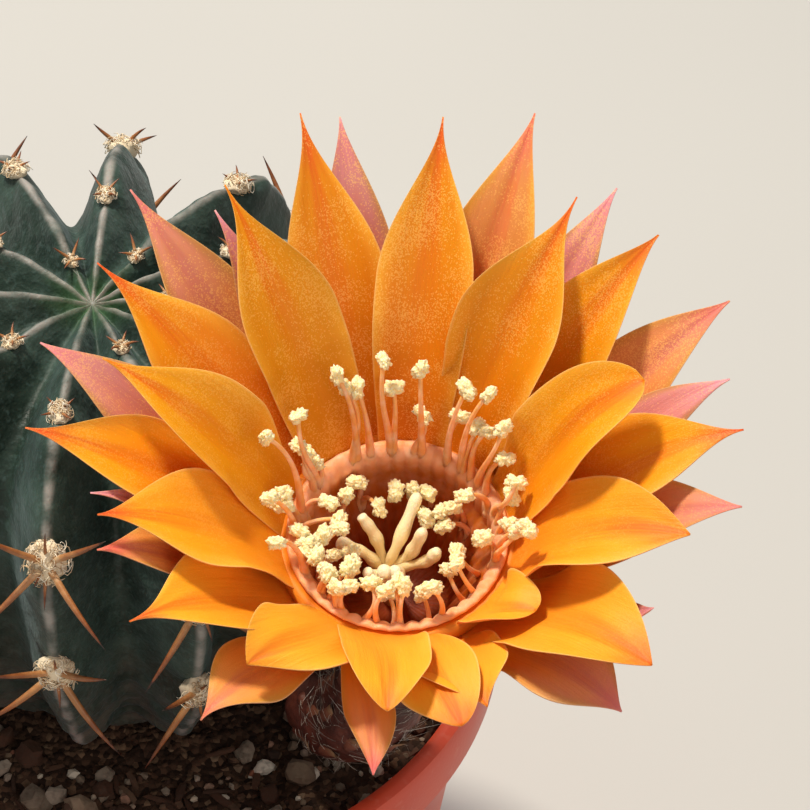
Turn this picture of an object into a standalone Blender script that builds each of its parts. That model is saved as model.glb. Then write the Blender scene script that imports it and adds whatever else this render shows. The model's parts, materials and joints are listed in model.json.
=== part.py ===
"""A potted lobivia: a small ribbed cactus with one wide open flower, in a round plastic pot.

Metres, +Z up. The origin is the centre of the pot's underside, and the flower faces -Y.
"""

import math
import random
from collections import namedtuple

import bmesh
import bpy
from mathutils import Matrix, Vector, noise

MM = 0.001
GAP = 0.3 * MM
# A direction that no tube in the plant runs along
ASKEW = Vector((0.98, 0.2, 0))

# Pot
POT_HEIGHT = 84 * MM
RIM_RADIUS = 50 * MM
RIM_WIDTH = 2.8 * MM
RIM_DEPTH = 9 * MM
BODY_RADIUS = RIM_RADIUS - 3.4 * MM
FOOT_RADIUS = 36 * MM
WALL = 1.7 * MM
FLOOR = 2 * MM
DRAIN_RADIUS = 4 * MM
DRAIN_CIRCLE = 21 * MM
DRAIN_COUNT = 4

# Soil
SOIL_TOP = 76 * MM
SOIL_RELIEF = 0.9 * MM
LUMP_SIZE = 6 * MM
# The top is flat to this distance from the stem's axis, and fully lumpy that much farther out
FLAT_RADIUS = 24 * MM
FLAT_FADE = 4 * MM
GRIT_COUNT = 17
GRIT_SIZES = (1.2 * MM, 2.6 * MM)
# The stones keep this far from the stem's axis, besides their own size
GRIT_CLEARANCE = 29 * MM

# Stem, its height measured from the soil to the crown
STEM_AXIS = Vector((-3.6 * MM, 4 * MM, 0))
STEM_CROWN = 136 * MM
PLUG_RADIUS = 20 * MM
HOLE_RADIUS = PLUG_RADIUS + 0.5 * MM
PLUG_DEPTH = 15 * MM
RIB_AZIMUTHS = (87, 116, 148, 186, 228, 264, 292, 320, 350, 380, 410)
COLUMNS_PER_RIB = 4
ROWS = 14
# Distance from the axis and height over the crown, in mm, from the crown down to the soil
CREST = (
    (0, 0), (4, 1.6), (10, 3.0), (18, 3.6), (26, 2.6), (32.5, -0.8), (36.8, -6.5),
    (38.8, -15), (38.6, -26), (36, -38), (31.8, -49), (26, -56.5), (20, -59.6),
)
VALLEY = (
    (0, 0), (3, 0.2), (7, -0.2), (12, -1.2), (17.5, -3.2), (22, -6.2), (25, -11),
    (26.8, -18.5), (27.2, -28), (26.4, -39), (24.2, -49.5), (21.5, -56.5), (20, -59.6),
)
CREST_SHARPNESS = 0.9
STEPS_PER_POINT = 20

# Areoles, each a wool cushion with spines, in a spiral over the ribs
AREOLE_SPACING = 20
AREOLE_START = 18
AREOLE_TURNS = 6
YOUNGEST_AREOLE = 9
OLDEST_AREOLE = 80
WOOL_RADIUS = 1.9 * MM
WOOL_DEPTH = 2.4 * MM
SPINE_RADIUS = 0.5 * MM
SPINE_LENGTH = 13.5 * MM
YOUNG_SPINE_LENGTH = 3.5 * MM
SHORTEST_SPINE = 2 * MM
# Distances down a crest between which the spines grow from young to full length
SPINES_YOUNG, SPINES_GROWN = 34, 43
# Turn about the areole, lean away from it in degrees, and length as a share
SPINES = ((48, 62, 1.0), (132, 66, 0.85), (228, 64, 0.8), (312, 66, 1.0))

# Flower, its own frame at the centre of the throat with the axis up
THROAT = Vector((35.9, -34.1, 133.2)) * MM
THROAT_RADIUS = 13.4 * MM
FLOWER_AXIS = Vector((0, -0.208, 0.978))
BLADE = 0.7 * MM
STATIONS = 6
# Points across a blade, as shares of half its width
ACROSS = (-1, -0.45, 0.45, 1)
# The slope of a tepal at its tip in degrees, and how much both its slopes grow towards the back
TIP_SLOPE = 12
TIP_SLOPE_SWING = 16
ROOT_SLOPE_SWING = 8
# A whorl of tepals. Each of its tepals is its azimuth in degrees from +X, towards the back, and
# its reach from the axis in mm. rise is the tips' height and swing is what they gain at the back,
# in mm. root is the (radius, height) that they grow from in mm, and slope their slope there.
Whorl = namedtuple("Whorl", "tepals rise swing root slope width cupping")
INNER_WHORL = Whorl(
    (
        (83, 43), (56, 38.5), (17, 31), (-15, 36), (-44, 23), (-75, 32), (-88, 28),
        (-125, 30), (-168, 36), (163, 34), (122, 40),
    ),
    rise=18.5, swing=9.5, root=(14.0, -0.8), slope=58, width=12.5 * MM, cupping=0.5,
)
MIDDLE_WHORL = Whorl(
    (
        (105, 46), (69, 48), (42, 42), (5, 41), (-40, 38), (-69, 30), (-148, 36),
        (175, 44), (146, 44),
    ),
    rise=17.5, swing=9, root=(14.4, -3.0), slope=46, width=11.5 * MM, cupping=0.4,
)
OUTER_WHORL = Whorl(
    (
        (99, 46), (53, 45), (28, 45), (15.5, 41), (-7, 41), (-29, 34), (-46, 38),
        (-94, 33), (-129, 36), (-164, 37), (-176, 36.5), (160, 46), (132, 49), (124, 39),
    ),
    rise=13.5, swing=9, root=(16.1, -4.3), slope=32, width=10 * MM, cupping=0.25,
)
USUAL_REACH = 42
# A tepal is widest at this share of its length, and its root has this share of that width
WIDEST_AT = 0.56
ROOT_WIDTH = 0.3
COLLAR = 1.5 * MM

# Floral tube: points of its axis below the straight part, and outer radii along it
TUBE_TOP = -5.3 * MM
CUP_BOTTOM = -22 * MM
TUBE_BEND = (
    Vector((34.8, -29.3, 104)) * MM, Vector((32.4, -28.6, 95.5)) * MM,
    Vector((28.8, -26.0, 89.6)) * MM, Vector((25.0, -21.4, 88.4)) * MM,
)
TUBE_STATIONS = 9
STALK_RADII = (5.4, 6.6, 6.4, 6.4, 6.8, 7.8)
# Height in the flower's frame and outer radius of the cup
CUP_OUTSIDE = ((-18, 8.6), (-14, 10.2), (-10, 12.6), (-7.5, 14.8), (-5.3, 16.6))
# Inner radius of the cup at its top and at its bottom
CUP_INSIDE = (12.6 * MM, 5.2 * MM)
SEAT_LENGTH = 9 * MM
SEAT_RADII = (4.6 * MM, 5.0 * MM)
TUBE_SIDES = 16
SCALE_ROWS = 7
SCALES_PER_ROW = 5
SCALE_LENGTH = 4.6 * MM
SCALE_HALF_WIDTH = 1.3 * MM
# How far the stem's spines keep from the tube and from the tepals
CLEAR_OF_CUP = 19 * MM
CLEAR_OF_STALK = 16 * MM
CLEAR_OF_TEPALS = 52 * MM
TEPALS_UNDERSIDE = -8 * MM

# Rows of stamens in the flower's frame: azimuths in degrees and lengths in mm. root is the
# (radius, height) they grow from, tip that of their anthers, swing what the tip gains at the
# back, and spread the chance part of the tip's azimuth, reach, and height below and above.
StamenRow = namedtuple("StamenRow", "count first sweep root tip swing spread")
STAMEN_ROWS = (
    StamenRow(20, -32, 236, (12.5, -0.6), (14.5, 11), (1.5, 3), (4, 1.2, -2.5, 1.5)),
    StamenRow(11, -150, 100, (12.3, -1.5), (8.5, 4.5), (0, 0), (6, 2, -1.5, 2.5)),
    StamenRow(10, 15, 324, (10.6, -7), (8.6, 0.5), (0, 0), (6, 0.8, 0, 0)),
)
FILAMENT_RADIUS = 0.42 * MM
ANTHER_RADIUS = 1.05 * MM
LINING = 0.9 * MM
# Share of the cup's depth that the stamens' fused bases line
LINED = 0.7

# Style and its stigma lobes
STYLE_RADIUS = 1.2 * MM
STYLE_TOP = -9 * MM
HEAD_LENGTH = 1.3 * MM
HEAD_RADIUS = 1.8 * MM
LOBE_AZIMUTHS = (176, 145, 105, 68, 10, -22, -97, -121)
LOBE_REACH = 5.4
LOBE_TIP = -1.2
LOBE_RADII = (0.8 * MM, 0.85 * MM, 0.8 * MM, 0.5 * MM)


def clear_scene():
    for item in list(bpy.data.objects):
        bpy.data.objects.remove(item, do_unlink=True)


def material(name, colour, roughness, specular=0.5):
    made = bpy.data.materials.new(name)
    made.use_nodes = True
    shader = made.node_tree.nodes["Principled BSDF"]
    shader.inputs["Base Color"].default_value = (*colour, 1)
    shader.inputs["Roughness"].default_value = roughness
    shader.inputs["Specular IOR Level"].default_value = specular
    made.diffuse_color = (*colour, 1)
    return made


def object_from(bm, name, finish=None, smooth_under=None):
    """A named object of a bmesh, smooth where faces meet at less than smooth_under degrees."""
    bmesh.ops.recalc_face_normals(bm, faces=bm.faces)
    mesh = bpy.data.meshes.new(name)
    bm.to_mesh(mesh)
    bm.free()
    if finish:
        mesh.materials.append(finish)
    if smooth_under is not None:
        mesh.shade_smooth()
        mesh.set_sharp_from_angle(angle=math.radians(smooth_under))
    made = bpy.data.objects.new(name, mesh)
    bpy.context.scene.collection.objects.link(made)
    return made


def apply_boolean(target, operation, others, solver="EXACT"):
    """Joins others to target, or cuts them from it, and removes them."""
    group = bpy.data.collections.new("others")
    bpy.context.scene.collection.children.link(group)
    for other in others:
        bpy.context.scene.collection.objects.unlink(other)
        group.objects.link(other)
    step = target.modifiers.new("Boolean", "BOOLEAN")
    step.operation = operation
    step.operand_type = "COLLECTION"
    step.collection = group
    step.solver = solver
    bpy.context.view_layer.update()
    graph = bpy.context.evaluated_depsgraph_get()
    joined = bpy.data.meshes.new_from_object(target.evaluated_get(graph))
    old = target.data
    target.modifiers.remove(step)
    target.data = joined
    bpy.data.meshes.remove(old)
    for other in others:
        bpy.data.objects.remove(other, do_unlink=True)
    bpy.data.collections.remove(group)


def turned(profile, segments):
    """A bmesh of a profile of (radius, height) pairs, closed, turned about +Z."""
    bm = bmesh.new()
    corners = [bm.verts.new((radius, 0, height)) for radius, height in profile]
    edges = [bm.edges.new(pair) for pair in zip(corners, corners[1:])]
    if profile[0][0] > 0:
        edges.append(bm.edges.new((corners[-1], corners[0])))
    bmesh.ops.spin(
        bm, geom=corners + edges, axis=(0, 0, 1), cent=(0, 0, 0),
        angle=math.tau, steps=segments, use_merge=True,
    )
    bmesh.ops.remove_doubles(bm, verts=bm.verts, dist=1e-6)
    return bm


def smooth_at(points, place):
    """The point at a fractional index of a list of points, on a smooth curve through them."""
    last = len(points) - 1
    i = min(int(place), last - 1)
    u = place - i
    a, b = points[max(i - 1, 0)], points[i]
    c, d = points[i + 1], points[min(i + 2, last)]
    return b + 0.5 * u * (c - a + u * (2 * a - 5 * b + 4 * c - d + u * (3 * (b - c) + d - a)))


def tube_between(bm, centres, radii, sides):
    """A closed tube through centres, its rings square to the path."""
    rings = []
    for i, (centre, radius) in enumerate(zip(centres, radii)):
        along = centres[min(i + 1, len(centres) - 1)] - centres[max(i - 1, 0)]
        side = along.cross(ASKEW).normalized()
        other = along.cross(side).normalized()
        ring = []
        for k in range(sides):
            angle = math.tau * k / sides
            out = math.cos(angle) * side + math.sin(angle) * other
            ring.append(bm.verts.new(centre + radius * out))
        rings.append(ring)
    for low, high in zip(rings, rings[1:]):
        for k in range(sides):
            n = (k + 1) % sides
            bm.faces.new((low[k], low[n], high[n], high[k]))
    bm.faces.new(rings[0])
    bm.faces.new(rings[-1])


def make_pot(finish):
    lip_top = RIM_RADIUS - RIM_WIDTH
    body_top = POT_HEIGHT - RIM_DEPTH
    profile = (
        (0, 0),
        (FOOT_RADIUS - 1 * MM, 0),
        (FOOT_RADIUS, 1 * MM),
        (BODY_RADIUS, body_top),
        (RIM_RADIUS - 0.6 * MM, body_top + 0.3 * MM),
        (RIM_RADIUS, body_top + 1.2 * MM),
        (RIM_RADIUS, POT_HEIGHT - 1.2 * MM),
        (RIM_RADIUS - 0.9 * MM, POT_HEIGHT),
        (lip_top + 0.6 * MM, POT_HEIGHT),
        (lip_top, POT_HEIGHT - 0.9 * MM),
        (BODY_RADIUS - WALL + 0.6 * MM, body_top),
        (FOOT_RADIUS - WALL, FLOOR + 1 * MM),
        (FOOT_RADIUS - WALL - 1 * MM, FLOOR),
        (0, FLOOR),
    )
    pot = object_from(turned(profile, 40), "pot", finish, 40)
    drains = []
    for k in range(DRAIN_COUNT):
        angle = math.tau * (k + 0.5) / DRAIN_COUNT
        bm = bmesh.new()
        bmesh.ops.create_cone(
            bm, cap_ends=True, segments=12, radius1=DRAIN_RADIUS, radius2=DRAIN_RADIUS,
            depth=3 * FLOOR,
            matrix=Matrix.Translation(
                (DRAIN_CIRCLE * math.cos(angle), DRAIN_CIRCLE * math.sin(angle), 0)
            ),
        )
        drains.append(object_from(bm, "drain"))
    apply_boolean(pot, "DIFFERENCE", drains)
    return pot


def soil_height(x, y):
    """Height of the soil's lumpy top, flat beside the hole that the stem stands in."""
    from_stem = math.hypot(x - STEM_AXIS.x, y - STEM_AXIS.y)
    spot = Vector((x, y, 0)) / LUMP_SIZE
    lumps = noise.noise(spot) + 0.5 * noise.noise(2 * spot + Vector((0, 0, 7)))
    fade = min(max((from_stem - FLAT_RADIUS) / FLAT_FADE, 0), 1)
    return SOIL_TOP + SOIL_RELIEF * fade * lumps


def make_soil(finish):
    rng = random.Random(7)
    top_radius = BODY_RADIUS - WALL - 0.5 * MM
    profile = [
        (0, FLOOR + GAP),
        (FOOT_RADIUS - WALL - 1.8 * MM, FLOOR + GAP),
        (FOOT_RADIUS - WALL - 0.4 * MM, FLOOR + 1.6 * MM),
        (top_radius, SOIL_TOP - 2 * MM),
    ]
    profile += [(share * top_radius, SOIL_TOP) for share in (0.97, 0.88, 0.78, 0.68, 0.57, 0.4, 0)]
    bm = turned(profile, 36)
    for vert in bm.verts:
        if vert.co.z > SOIL_TOP - 0.5 * MM:
            vert.co.z = soil_height(vert.co.x, vert.co.y)
    soil = object_from(bm, "soil", finish, 30)
    bm = bmesh.new()
    bmesh.ops.create_cone(
        bm, cap_ends=True, segments=32, radius1=HOLE_RADIUS, radius2=HOLE_RADIUS,
        depth=2 * (PLUG_DEPTH + GAP), matrix=Matrix.Translation((STEM_AXIS.x, STEM_AXIS.y, SOIL_TOP)),
    )
    apply_boolean(soil, "DIFFERENCE", [object_from(bm, "hole")])
    stones = []
    while len(stones) < GRIT_COUNT:
        size = rng.uniform(*GRIT_SIZES)
        angle = rng.uniform(0, math.tau)
        away = rng.uniform(FLAT_RADIUS, top_radius - size - 0.8 * MM)
        x, y = away * math.cos(angle), away * math.sin(angle)
        if math.hypot(x - STEM_AXIS.x, y - STEM_AXIS.y) < GRIT_CLEARANCE + size:
            continue
        bm = bmesh.new()
        bmesh.ops.create_icosphere(bm, subdivisions=1, radius=size)
        for vert in bm.verts:
            vert.co *= rng.uniform(0.8, 1.15)
        bmesh.ops.scale(bm, verts=bm.verts, vec=(1, rng.uniform(0.7, 1), 0.75))
        turn = Matrix.Rotation(rng.uniform(0, math.tau), 4, "Z")
        place = Matrix.Translation((x, y, soil_height(x, y) + 0.1 * size))
        bmesh.ops.transform(bm, matrix=place @ turn, verts=bm.verts)
        stones.append(object_from(bm, "stone"))
    apply_boolean(soil, "UNION", stones, "MANIFOLD")
    return soil


def crest_at(place):
    return smooth_at([Vector(pair) for pair in CREST], place)


def rib_share(azimuth):
    """1 on a rib's crest, 0 in the valley between two ribs, for an azimuth in degrees."""
    crests = [a % 360 for a in RIB_AZIMUTHS]
    gaps = sorted(((azimuth - a + 180) % 360 - 180, a) for a in crests)
    before = min((gap for gap, _ in gaps if gap >= 0), default=0)
    after = min((-gap for gap, _ in gaps if gap < 0), default=0)
    near = min(before, after) / (0.5 * (before + after))
    return 0.5 * (1 + math.cos(math.pi * near**CREST_SHARPNESS))


def areoles():
    """(azimuth in degrees, place along the crest) of each areole, youngest first on a rib."""
    steps = [crest_at(k / STEPS_PER_POINT) for k in range(STEPS_PER_POINT * (len(CREST) - 1) + 1)]
    arcs = [0.0]
    for a, b in zip(steps, steps[1:]):
        arcs.append(arcs[-1] + (b - a).length)
    found = []
    for i, azimuth in enumerate(RIB_AZIMUTHS):
        arc = (AREOLE_START - i * AREOLE_TURNS * AREOLE_SPACING / len(RIB_AZIMUTHS)) % AREOLE_SPACING
        while arc < OLDEST_AREOLE:
            if arc > YOUNGEST_AREOLE:
                k = next(n for n, reached in enumerate(arcs) if reached >= arc)
                found.append((azimuth, k / STEPS_PER_POINT, arc))
            arc += AREOLE_SPACING
    return found


def in_flower(point):
    """True for a point of the stem's spines that would touch the flower or its tube."""
    seen = flower_matrix().inverted() @ point
    reach = math.hypot(seen.x, seen.y)
    if seen.z < TUBE_TOP:
        cone = reach < CLEAR_OF_CUP + 0.4 * (seen.z - TUBE_TOP)
        return cone or (point - TUBE_BEND[2]).length < CLEAR_OF_STALK
    side = math.sin(math.atan2(seen.y, seen.x))
    under = TEPALS_UNDERSIDE + (reach - OUTER_WHORL.root[0] * MM) * (0.62 + 0.25 * side)
    return reach < CLEAR_OF_TEPALS and seen.z > under


def make_stem(finish):
    azimuths = []
    for i, azimuth in enumerate(RIB_AZIMUTHS):
        following = (RIB_AZIMUTHS + (RIB_AZIMUTHS[0] + 360,))[i + 1]
        azimuths += [azimuth + (following - azimuth) * k / COLUMNS_PER_RIB for k in range(COLUMNS_PER_RIB)]
    bm = bmesh.new()
    apex = bm.verts.new(STEM_AXIS + Vector((0, 0, STEM_CROWN)))
    rings = []
    valley = [Vector(pair) for pair in VALLEY]
    for row in range(1, ROWS + 1):
        place = (len(CREST) - 1) * row / ROWS
        outer, inner = crest_at(place) * MM, smooth_at(valley, place) * MM
        ring = []
        for azimuth in azimuths:
            radius, height = inner.lerp(outer, rib_share(azimuth))
            turn = math.radians(azimuth)
            spot = Vector((radius * math.cos(turn), radius * math.sin(turn), STEM_CROWN + height))
            ring.append(bm.verts.new(STEM_AXIS + spot))
        rings.append(ring)
    foot = []
    for azimuth in azimuths:
        turn = math.radians(azimuth)
        spot = Vector((PLUG_RADIUS * math.cos(turn), PLUG_RADIUS * math.sin(turn), SOIL_TOP - PLUG_DEPTH))
        foot.append(bm.verts.new(STEM_AXIS + spot))
    rings.append(foot)
    count = len(azimuths)
    for k in range(count):
        n = (k + 1) % count
        bm.faces.new((apex, rings[0][k], rings[0][n]))
        for low, high in zip(rings, rings[1:]):
            bm.faces.new((low[k], high[k], high[n], low[n]))
    bm.faces.new(foot)
    stem = object_from(bm, "stem", finish, 50)
    cushions = []
    for azimuth, place, arc in areoles():
        cushions += make_areole(azimuth, place, arc)
    cushions.append(make_flower_seat())
    apply_boolean(stem, "UNION", cushions, "MANIFOLD")
    return stem


def needle(start, tip, across, radius):
    """A three-sided needle with its flat underside square to its length."""
    along = (tip - start).normalized()
    first = (across - along * across.dot(along)).normalized() * radius
    bm = bmesh.new()
    root = [bm.verts.new(start + Matrix.Rotation(math.tau * k / 3, 3, along) @ first) for k in range(3)]
    point = bm.verts.new(tip)
    bm.faces.new(root)
    for k in range(3):
        bm.faces.new((root[k], root[(k + 1) % 3], point))
    return object_from(bm, "needle")


def make_areole(azimuth, place, arc):
    """A cushion of wool on a rib's crest, and its spines."""
    spot = crest_at(place) * MM
    run = crest_at(min(place + 0.1, len(CREST) - 1)) - crest_at(place - 0.1)
    turn = Matrix.Rotation(math.radians(azimuth), 3, "Z")
    down = turn @ Vector((run.x, 0, run.y)).normalized()
    side = turn @ Vector((0, 1, 0))
    out = side.cross(down) * -1
    centre = STEM_AXIS + Vector((0, 0, STEM_CROWN)) + turn @ Vector((spot.x, 0, spot.y))
    age = min(arc / SPINES_GROWN, 1)
    grown = min((arc - SPINES_YOUNG) / (SPINES_GROWN - SPINES_YOUNG), 1)
    frame = Matrix((down, side, out)).transposed().to_4x4()
    bm = bmesh.new()
    bmesh.ops.create_cone(
        bm, cap_ends=True, segments=5, radius1=WOOL_RADIUS * (0.7 + 0.4 * age),
        radius2=0.5 * WOOL_RADIUS, depth=WOOL_DEPTH,
        matrix=Matrix.Translation(centre) @ frame @ Matrix.Translation((0, 0, 0.2 * MM)),
    )
    made = [object_from(bm, "wool")]
    for around, lean, share in SPINES if grown > 0 else ():
        length = max(SPINE_LENGTH * share * grown, YOUNG_SPINE_LENGTH)
        around, lean = math.radians(around), math.radians(lean)
        flat = math.cos(around) * down + math.sin(around) * side
        way = math.sin(lean) * flat + math.cos(lean) * out
        while length > SHORTEST_SPINE and any(in_flower(centre + way * length * part) for part in (0.6, 1)):
            length *= 0.8
        if length <= SHORTEST_SPINE:
            continue
        made.append(needle(centre - way * 0.6 * MM, centre + way * length, side, SPINE_RADIUS))
    return made


def tube_path():
    """Points of the tube's axis from the stem up to the bottom of the flower's cup."""
    bend = [*TUBE_BEND[::-1], THROAT + FLOWER_AXIS.normalized() * CUP_BOTTOM]
    return [smooth_at(bend, (len(bend) - 1) * k / TUBE_STATIONS) for k in range(TUBE_STATIONS + 1)]


def make_flower_seat():
    """The stub of the stem that the floral tube grows from."""
    start, following = tube_path()[:2]
    way = (following - start).normalized()
    bm = bmesh.new()
    tube_between(bm, [start - way * SEAT_LENGTH, start - way * GAP], SEAT_RADII, 12)
    return object_from(bm, "seat")


def flower_matrix():
    """From the flower's frame, with its axis up and +Y towards the back, to the world."""
    up = FLOWER_AXIS.normalized()
    right = Vector((1, 0, 0))
    back = up.cross(right)
    return Matrix.Translation(THROAT) @ Matrix((right, back, up)).transposed().to_4x4()


def blade_share(s):
    """Half the width of a tepal at s, 0 at the root and 1 at the tip, as a share of its widest."""
    if s < WIDEST_AT:
        return ROOT_WIDTH + (1 - ROOT_WIDTH) * math.sin(0.5 * math.pi * s / WIDEST_AT) ** 1.3
    u = (s - WIDEST_AT) / (1 - WIDEST_AT)
    return (1 - u**1.7) * (1 - 0.3 * u)


def tepal(bm, azimuth, reach, whorl):
    """One cupped lance-shaped blade, on a curve from the whorl's root to the tepal's tip."""
    side = math.sin(math.radians(azimuth))
    first, last = Vector(whorl.root) * MM, Vector((reach, whorl.rise + whorl.swing * side)) * MM
    width = whorl.width * (0.75 + 0.25 * reach / USUAL_REACH)
    handle = 0.36 * (last - first).length
    a = math.radians(whorl.slope + ROOT_SLOPE_SWING * side)
    b = math.radians(TIP_SLOPE + TIP_SLOPE_SWING * side)
    second = first + handle * Vector((math.cos(a), math.sin(a)))
    third = last - handle * Vector((math.cos(b), math.sin(b)))
    turn = Matrix.Rotation(math.radians(azimuth), 3, "Z")
    faces_out = ([], [])
    for i in range(STATIONS + 1):
        s = i / STATIONS
        t = 1 - s
        spot = t**3 * first + 3 * t * t * s * second + 3 * t * s * s * third + s**3 * last
        run = t * t * (second - first) + 2 * t * s * (third - second) + s * s * (last - third)
        up = Vector((-run.y, run.x)).normalized()
        half = max(0.5 * width * blade_share(s), 0.3 * MM)
        cup = whorl.cupping * half * (1 - 0.5 * s)
        for face, row in zip((0.5, -0.5), faces_out):
            line = []
            for v in ACROSS:
                lift = cup * v * v + face * BLADE
                point = Vector((spot.x + up.x * lift, half * v, spot.y + up.y * lift))
                line.append(bm.verts.new(turn @ point))
            row.append(line)
    top, under = faces_out
    cells = len(ACROSS) - 1
    for i in range(STATIONS):
        for k in range(cells):
            for row, flip in ((top, False), (under, True)):
                a, b, c, d = row[i][k], row[i][k + 1], row[i + 1][k + 1], row[i + 1][k]
                for corners in ((a, b, c), (a, c, d)):
                    bm.faces.new(corners[::-1] if flip else corners)
        for k in (0, cells):
            bm.faces.new((top[i][k], top[i + 1][k], under[i + 1][k], under[i][k]))
    for i in (0, STATIONS):
        for k in range(cells):
            bm.faces.new((top[i][k], top[i][k + 1], under[i][k + 1], under[i][k]))


def make_tepals(name, whorls, inside, top, finish):
    """Whorls of tepals on a collar of one inner radius and top."""
    outside, bottom = inside + COLLAR, TUBE_TOP + GAP
    profile = ((inside, bottom), (outside, bottom), (outside, top), (inside, top))
    collar = object_from(turned(profile, 36), name, finish, 35)
    blades = []
    for whorl in whorls:
        for azimuth, reach in whorl.tepals:
            bm = bmesh.new()
            tepal(bm, azimuth, reach, whorl)
            blades.append(object_from(bm, "blade"))
    apply_boolean(collar, "UNION", blades, "MANIFOLD")
    collar.data.transform(flower_matrix())
    collar.data.shade_smooth()
    collar.data.set_sharp_from_angle(angle=math.radians(50))
    return collar


def cup_radius(height):
    """Inner radius of the floral tube's cup at a height in the flower's frame."""
    depth = max((TUBE_TOP - height) / (TUBE_TOP - CUP_BOTTOM), 0)
    return CUP_INSIDE[0] + (CUP_INSIDE[1] - CUP_INSIDE[0]) * depth**0.8


def make_floral_tube(finish):
    """A hollow cup on a bent stalk, with pointed scales, from the stem to the throat."""
    up = FLOWER_AXIS.normalized()
    stalk = [Vector((radius, 0)) * MM for radius in STALK_RADII]
    radii = [smooth_at(stalk, (len(stalk) - 1) * k / TUBE_STATIONS).x for k in range(TUBE_STATIONS + 1)]
    centres = tube_path() + [THROAT + up * height * MM for height, _ in CUP_OUTSIDE]
    radii += [radius * MM for _, radius in CUP_OUTSIDE]
    bm = bmesh.new()
    tube_between(bm, centres, radii, TUBE_SIDES)
    tube = object_from(bm, "floral_tube", finish, 50)
    heights = [CUP_BOTTOM + (TUBE_TOP - CUP_BOTTOM) * k / 5 for k in range(6)]
    profile = [(0, CUP_BOTTOM)] + [(cup_radius(h), h) for h in heights]
    profile += [(cup_radius(TUBE_TOP), 0), (0, 0)]
    bm = turned(profile, 20)
    bmesh.ops.transform(bm, matrix=flower_matrix(), verts=bm.verts)
    cavity = object_from(bm, "cavity")
    apply_boolean(tube, "UNION", make_scales(centres, radii), "MANIFOLD")
    apply_boolean(tube, "DIFFERENCE", [cavity], "MANIFOLD")
    return tube


def make_scales(centres, radii):
    """Narrow pointed scales up the tube, lying close to it."""
    scales = []
    last = len(centres) - 4
    for row in range(SCALE_ROWS):
        place = 1 + (last - 1) * row / (SCALE_ROWS - 1)
        i = int(place)
        centre = centres[i].lerp(centres[i + 1], place - i)
        radius = radii[i] + (radii[i + 1] - radii[i]) * (place - i)
        along = (centres[i + 1] - centres[i]).normalized()
        side = along.cross(ASKEW).normalized()
        other = along.cross(side)
        for k in range(SCALES_PER_ROW):
            angle = math.tau * (k + 0.5 * (row % 2)) / SCALES_PER_ROW
            out = math.cos(angle) * side + math.sin(angle) * other
            across = out.cross(along)
            base = centre + out * (radius - 0.9 * MM)
            tip = centre + out * (radius + 1.1 * MM) + along * SCALE_LENGTH
            bm = bmesh.new()
            root = [
                bm.verts.new(base + across * SCALE_HALF_WIDTH),
                bm.verts.new(base + out * 1.5 * MM),
                bm.verts.new(base - across * SCALE_HALF_WIDTH),
            ]
            point = bm.verts.new(tip)
            bm.faces.new(root)
            for a, b in ((0, 1), (1, 2), (2, 0)):
                bm.faces.new((root[a], root[b], point))
            scales.append(object_from(bm, "scale"))
    return scales


def arched(start, end, lean, count):
    """Points from start to end that leave along lean and bend over towards the end."""
    middle = start + lean * 0.6 * (end - start).length
    return [
        (1 - t) ** 2 * start + 2 * t * (1 - t) * middle + t * t * end
        for t in (k / count for k in range(count + 1))
    ]


def spot_at(azimuth, radius, height):
    turn = math.radians(azimuth)
    return Vector((radius * math.cos(turn), radius * math.sin(turn), height)) * MM


def stamens():
    """(root, tip) of each stamen in the flower's frame, row by row."""
    rng = random.Random(11)
    found = []
    for row in STAMEN_ROWS:
        turn_spread, reach_spread, lowest, highest = row.spread
        for k in range(row.count):
            azimuth = row.first + row.sweep * k / (row.count - 1)
            side = math.sin(math.radians(azimuth))
            reach = row.tip[0] + row.swing[0] * side + rng.uniform(-reach_spread, reach_spread)
            height = row.tip[1] + row.swing[1] * side + rng.uniform(lowest, highest)
            tip = spot_at(azimuth + rng.uniform(-turn_spread, turn_spread), reach, height)
            found.append((spot_at(azimuth, *row.root), tip))
    return found


def make_stamens(finish):
    outside = THROAT_RADIUS - GAP
    heights = [TUBE_TOP + (CUP_BOTTOM * LINED - TUBE_TOP) * k / 3 for k in range(4)]
    profile = [(cup_radius(h) - GAP - (0 if k else 0.2 * MM), h) for k, h in enumerate(heights)][::-1]
    seat = TUBE_TOP + GAP
    profile += [(outside, seat), (outside, 0)]
    profile += [(outside - LINING, 0.2 * MM), (outside - 1.3 * LINING, seat)]
    profile += [(cup_radius(h) - GAP - LINING, h) for h in heights[1:]]
    ring = object_from(turned(profile, 26), "stamens", finish, 40)
    pieces = []
    for root, tip in stamens():
        bm = bmesh.new()
        points = arched(root, tip, Vector((0, 0, 1)), 2)
        tube_between(bm, points, [FILAMENT_RADIUS, FILAMENT_RADIUS, 0.7 * FILAMENT_RADIUS], 3)
        pieces.append(object_from(bm, "filament"))
        bm = bmesh.new()
        bmesh.ops.create_uvsphere(
            bm, u_segments=4, v_segments=2, radius=ANTHER_RADIUS, matrix=Matrix.Translation(tip)
        )
        pieces.append(object_from(bm, "anther"))
    apply_boolean(ring, "UNION", pieces, "MANIFOLD")
    ring.data.transform(flower_matrix())
    return ring


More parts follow.
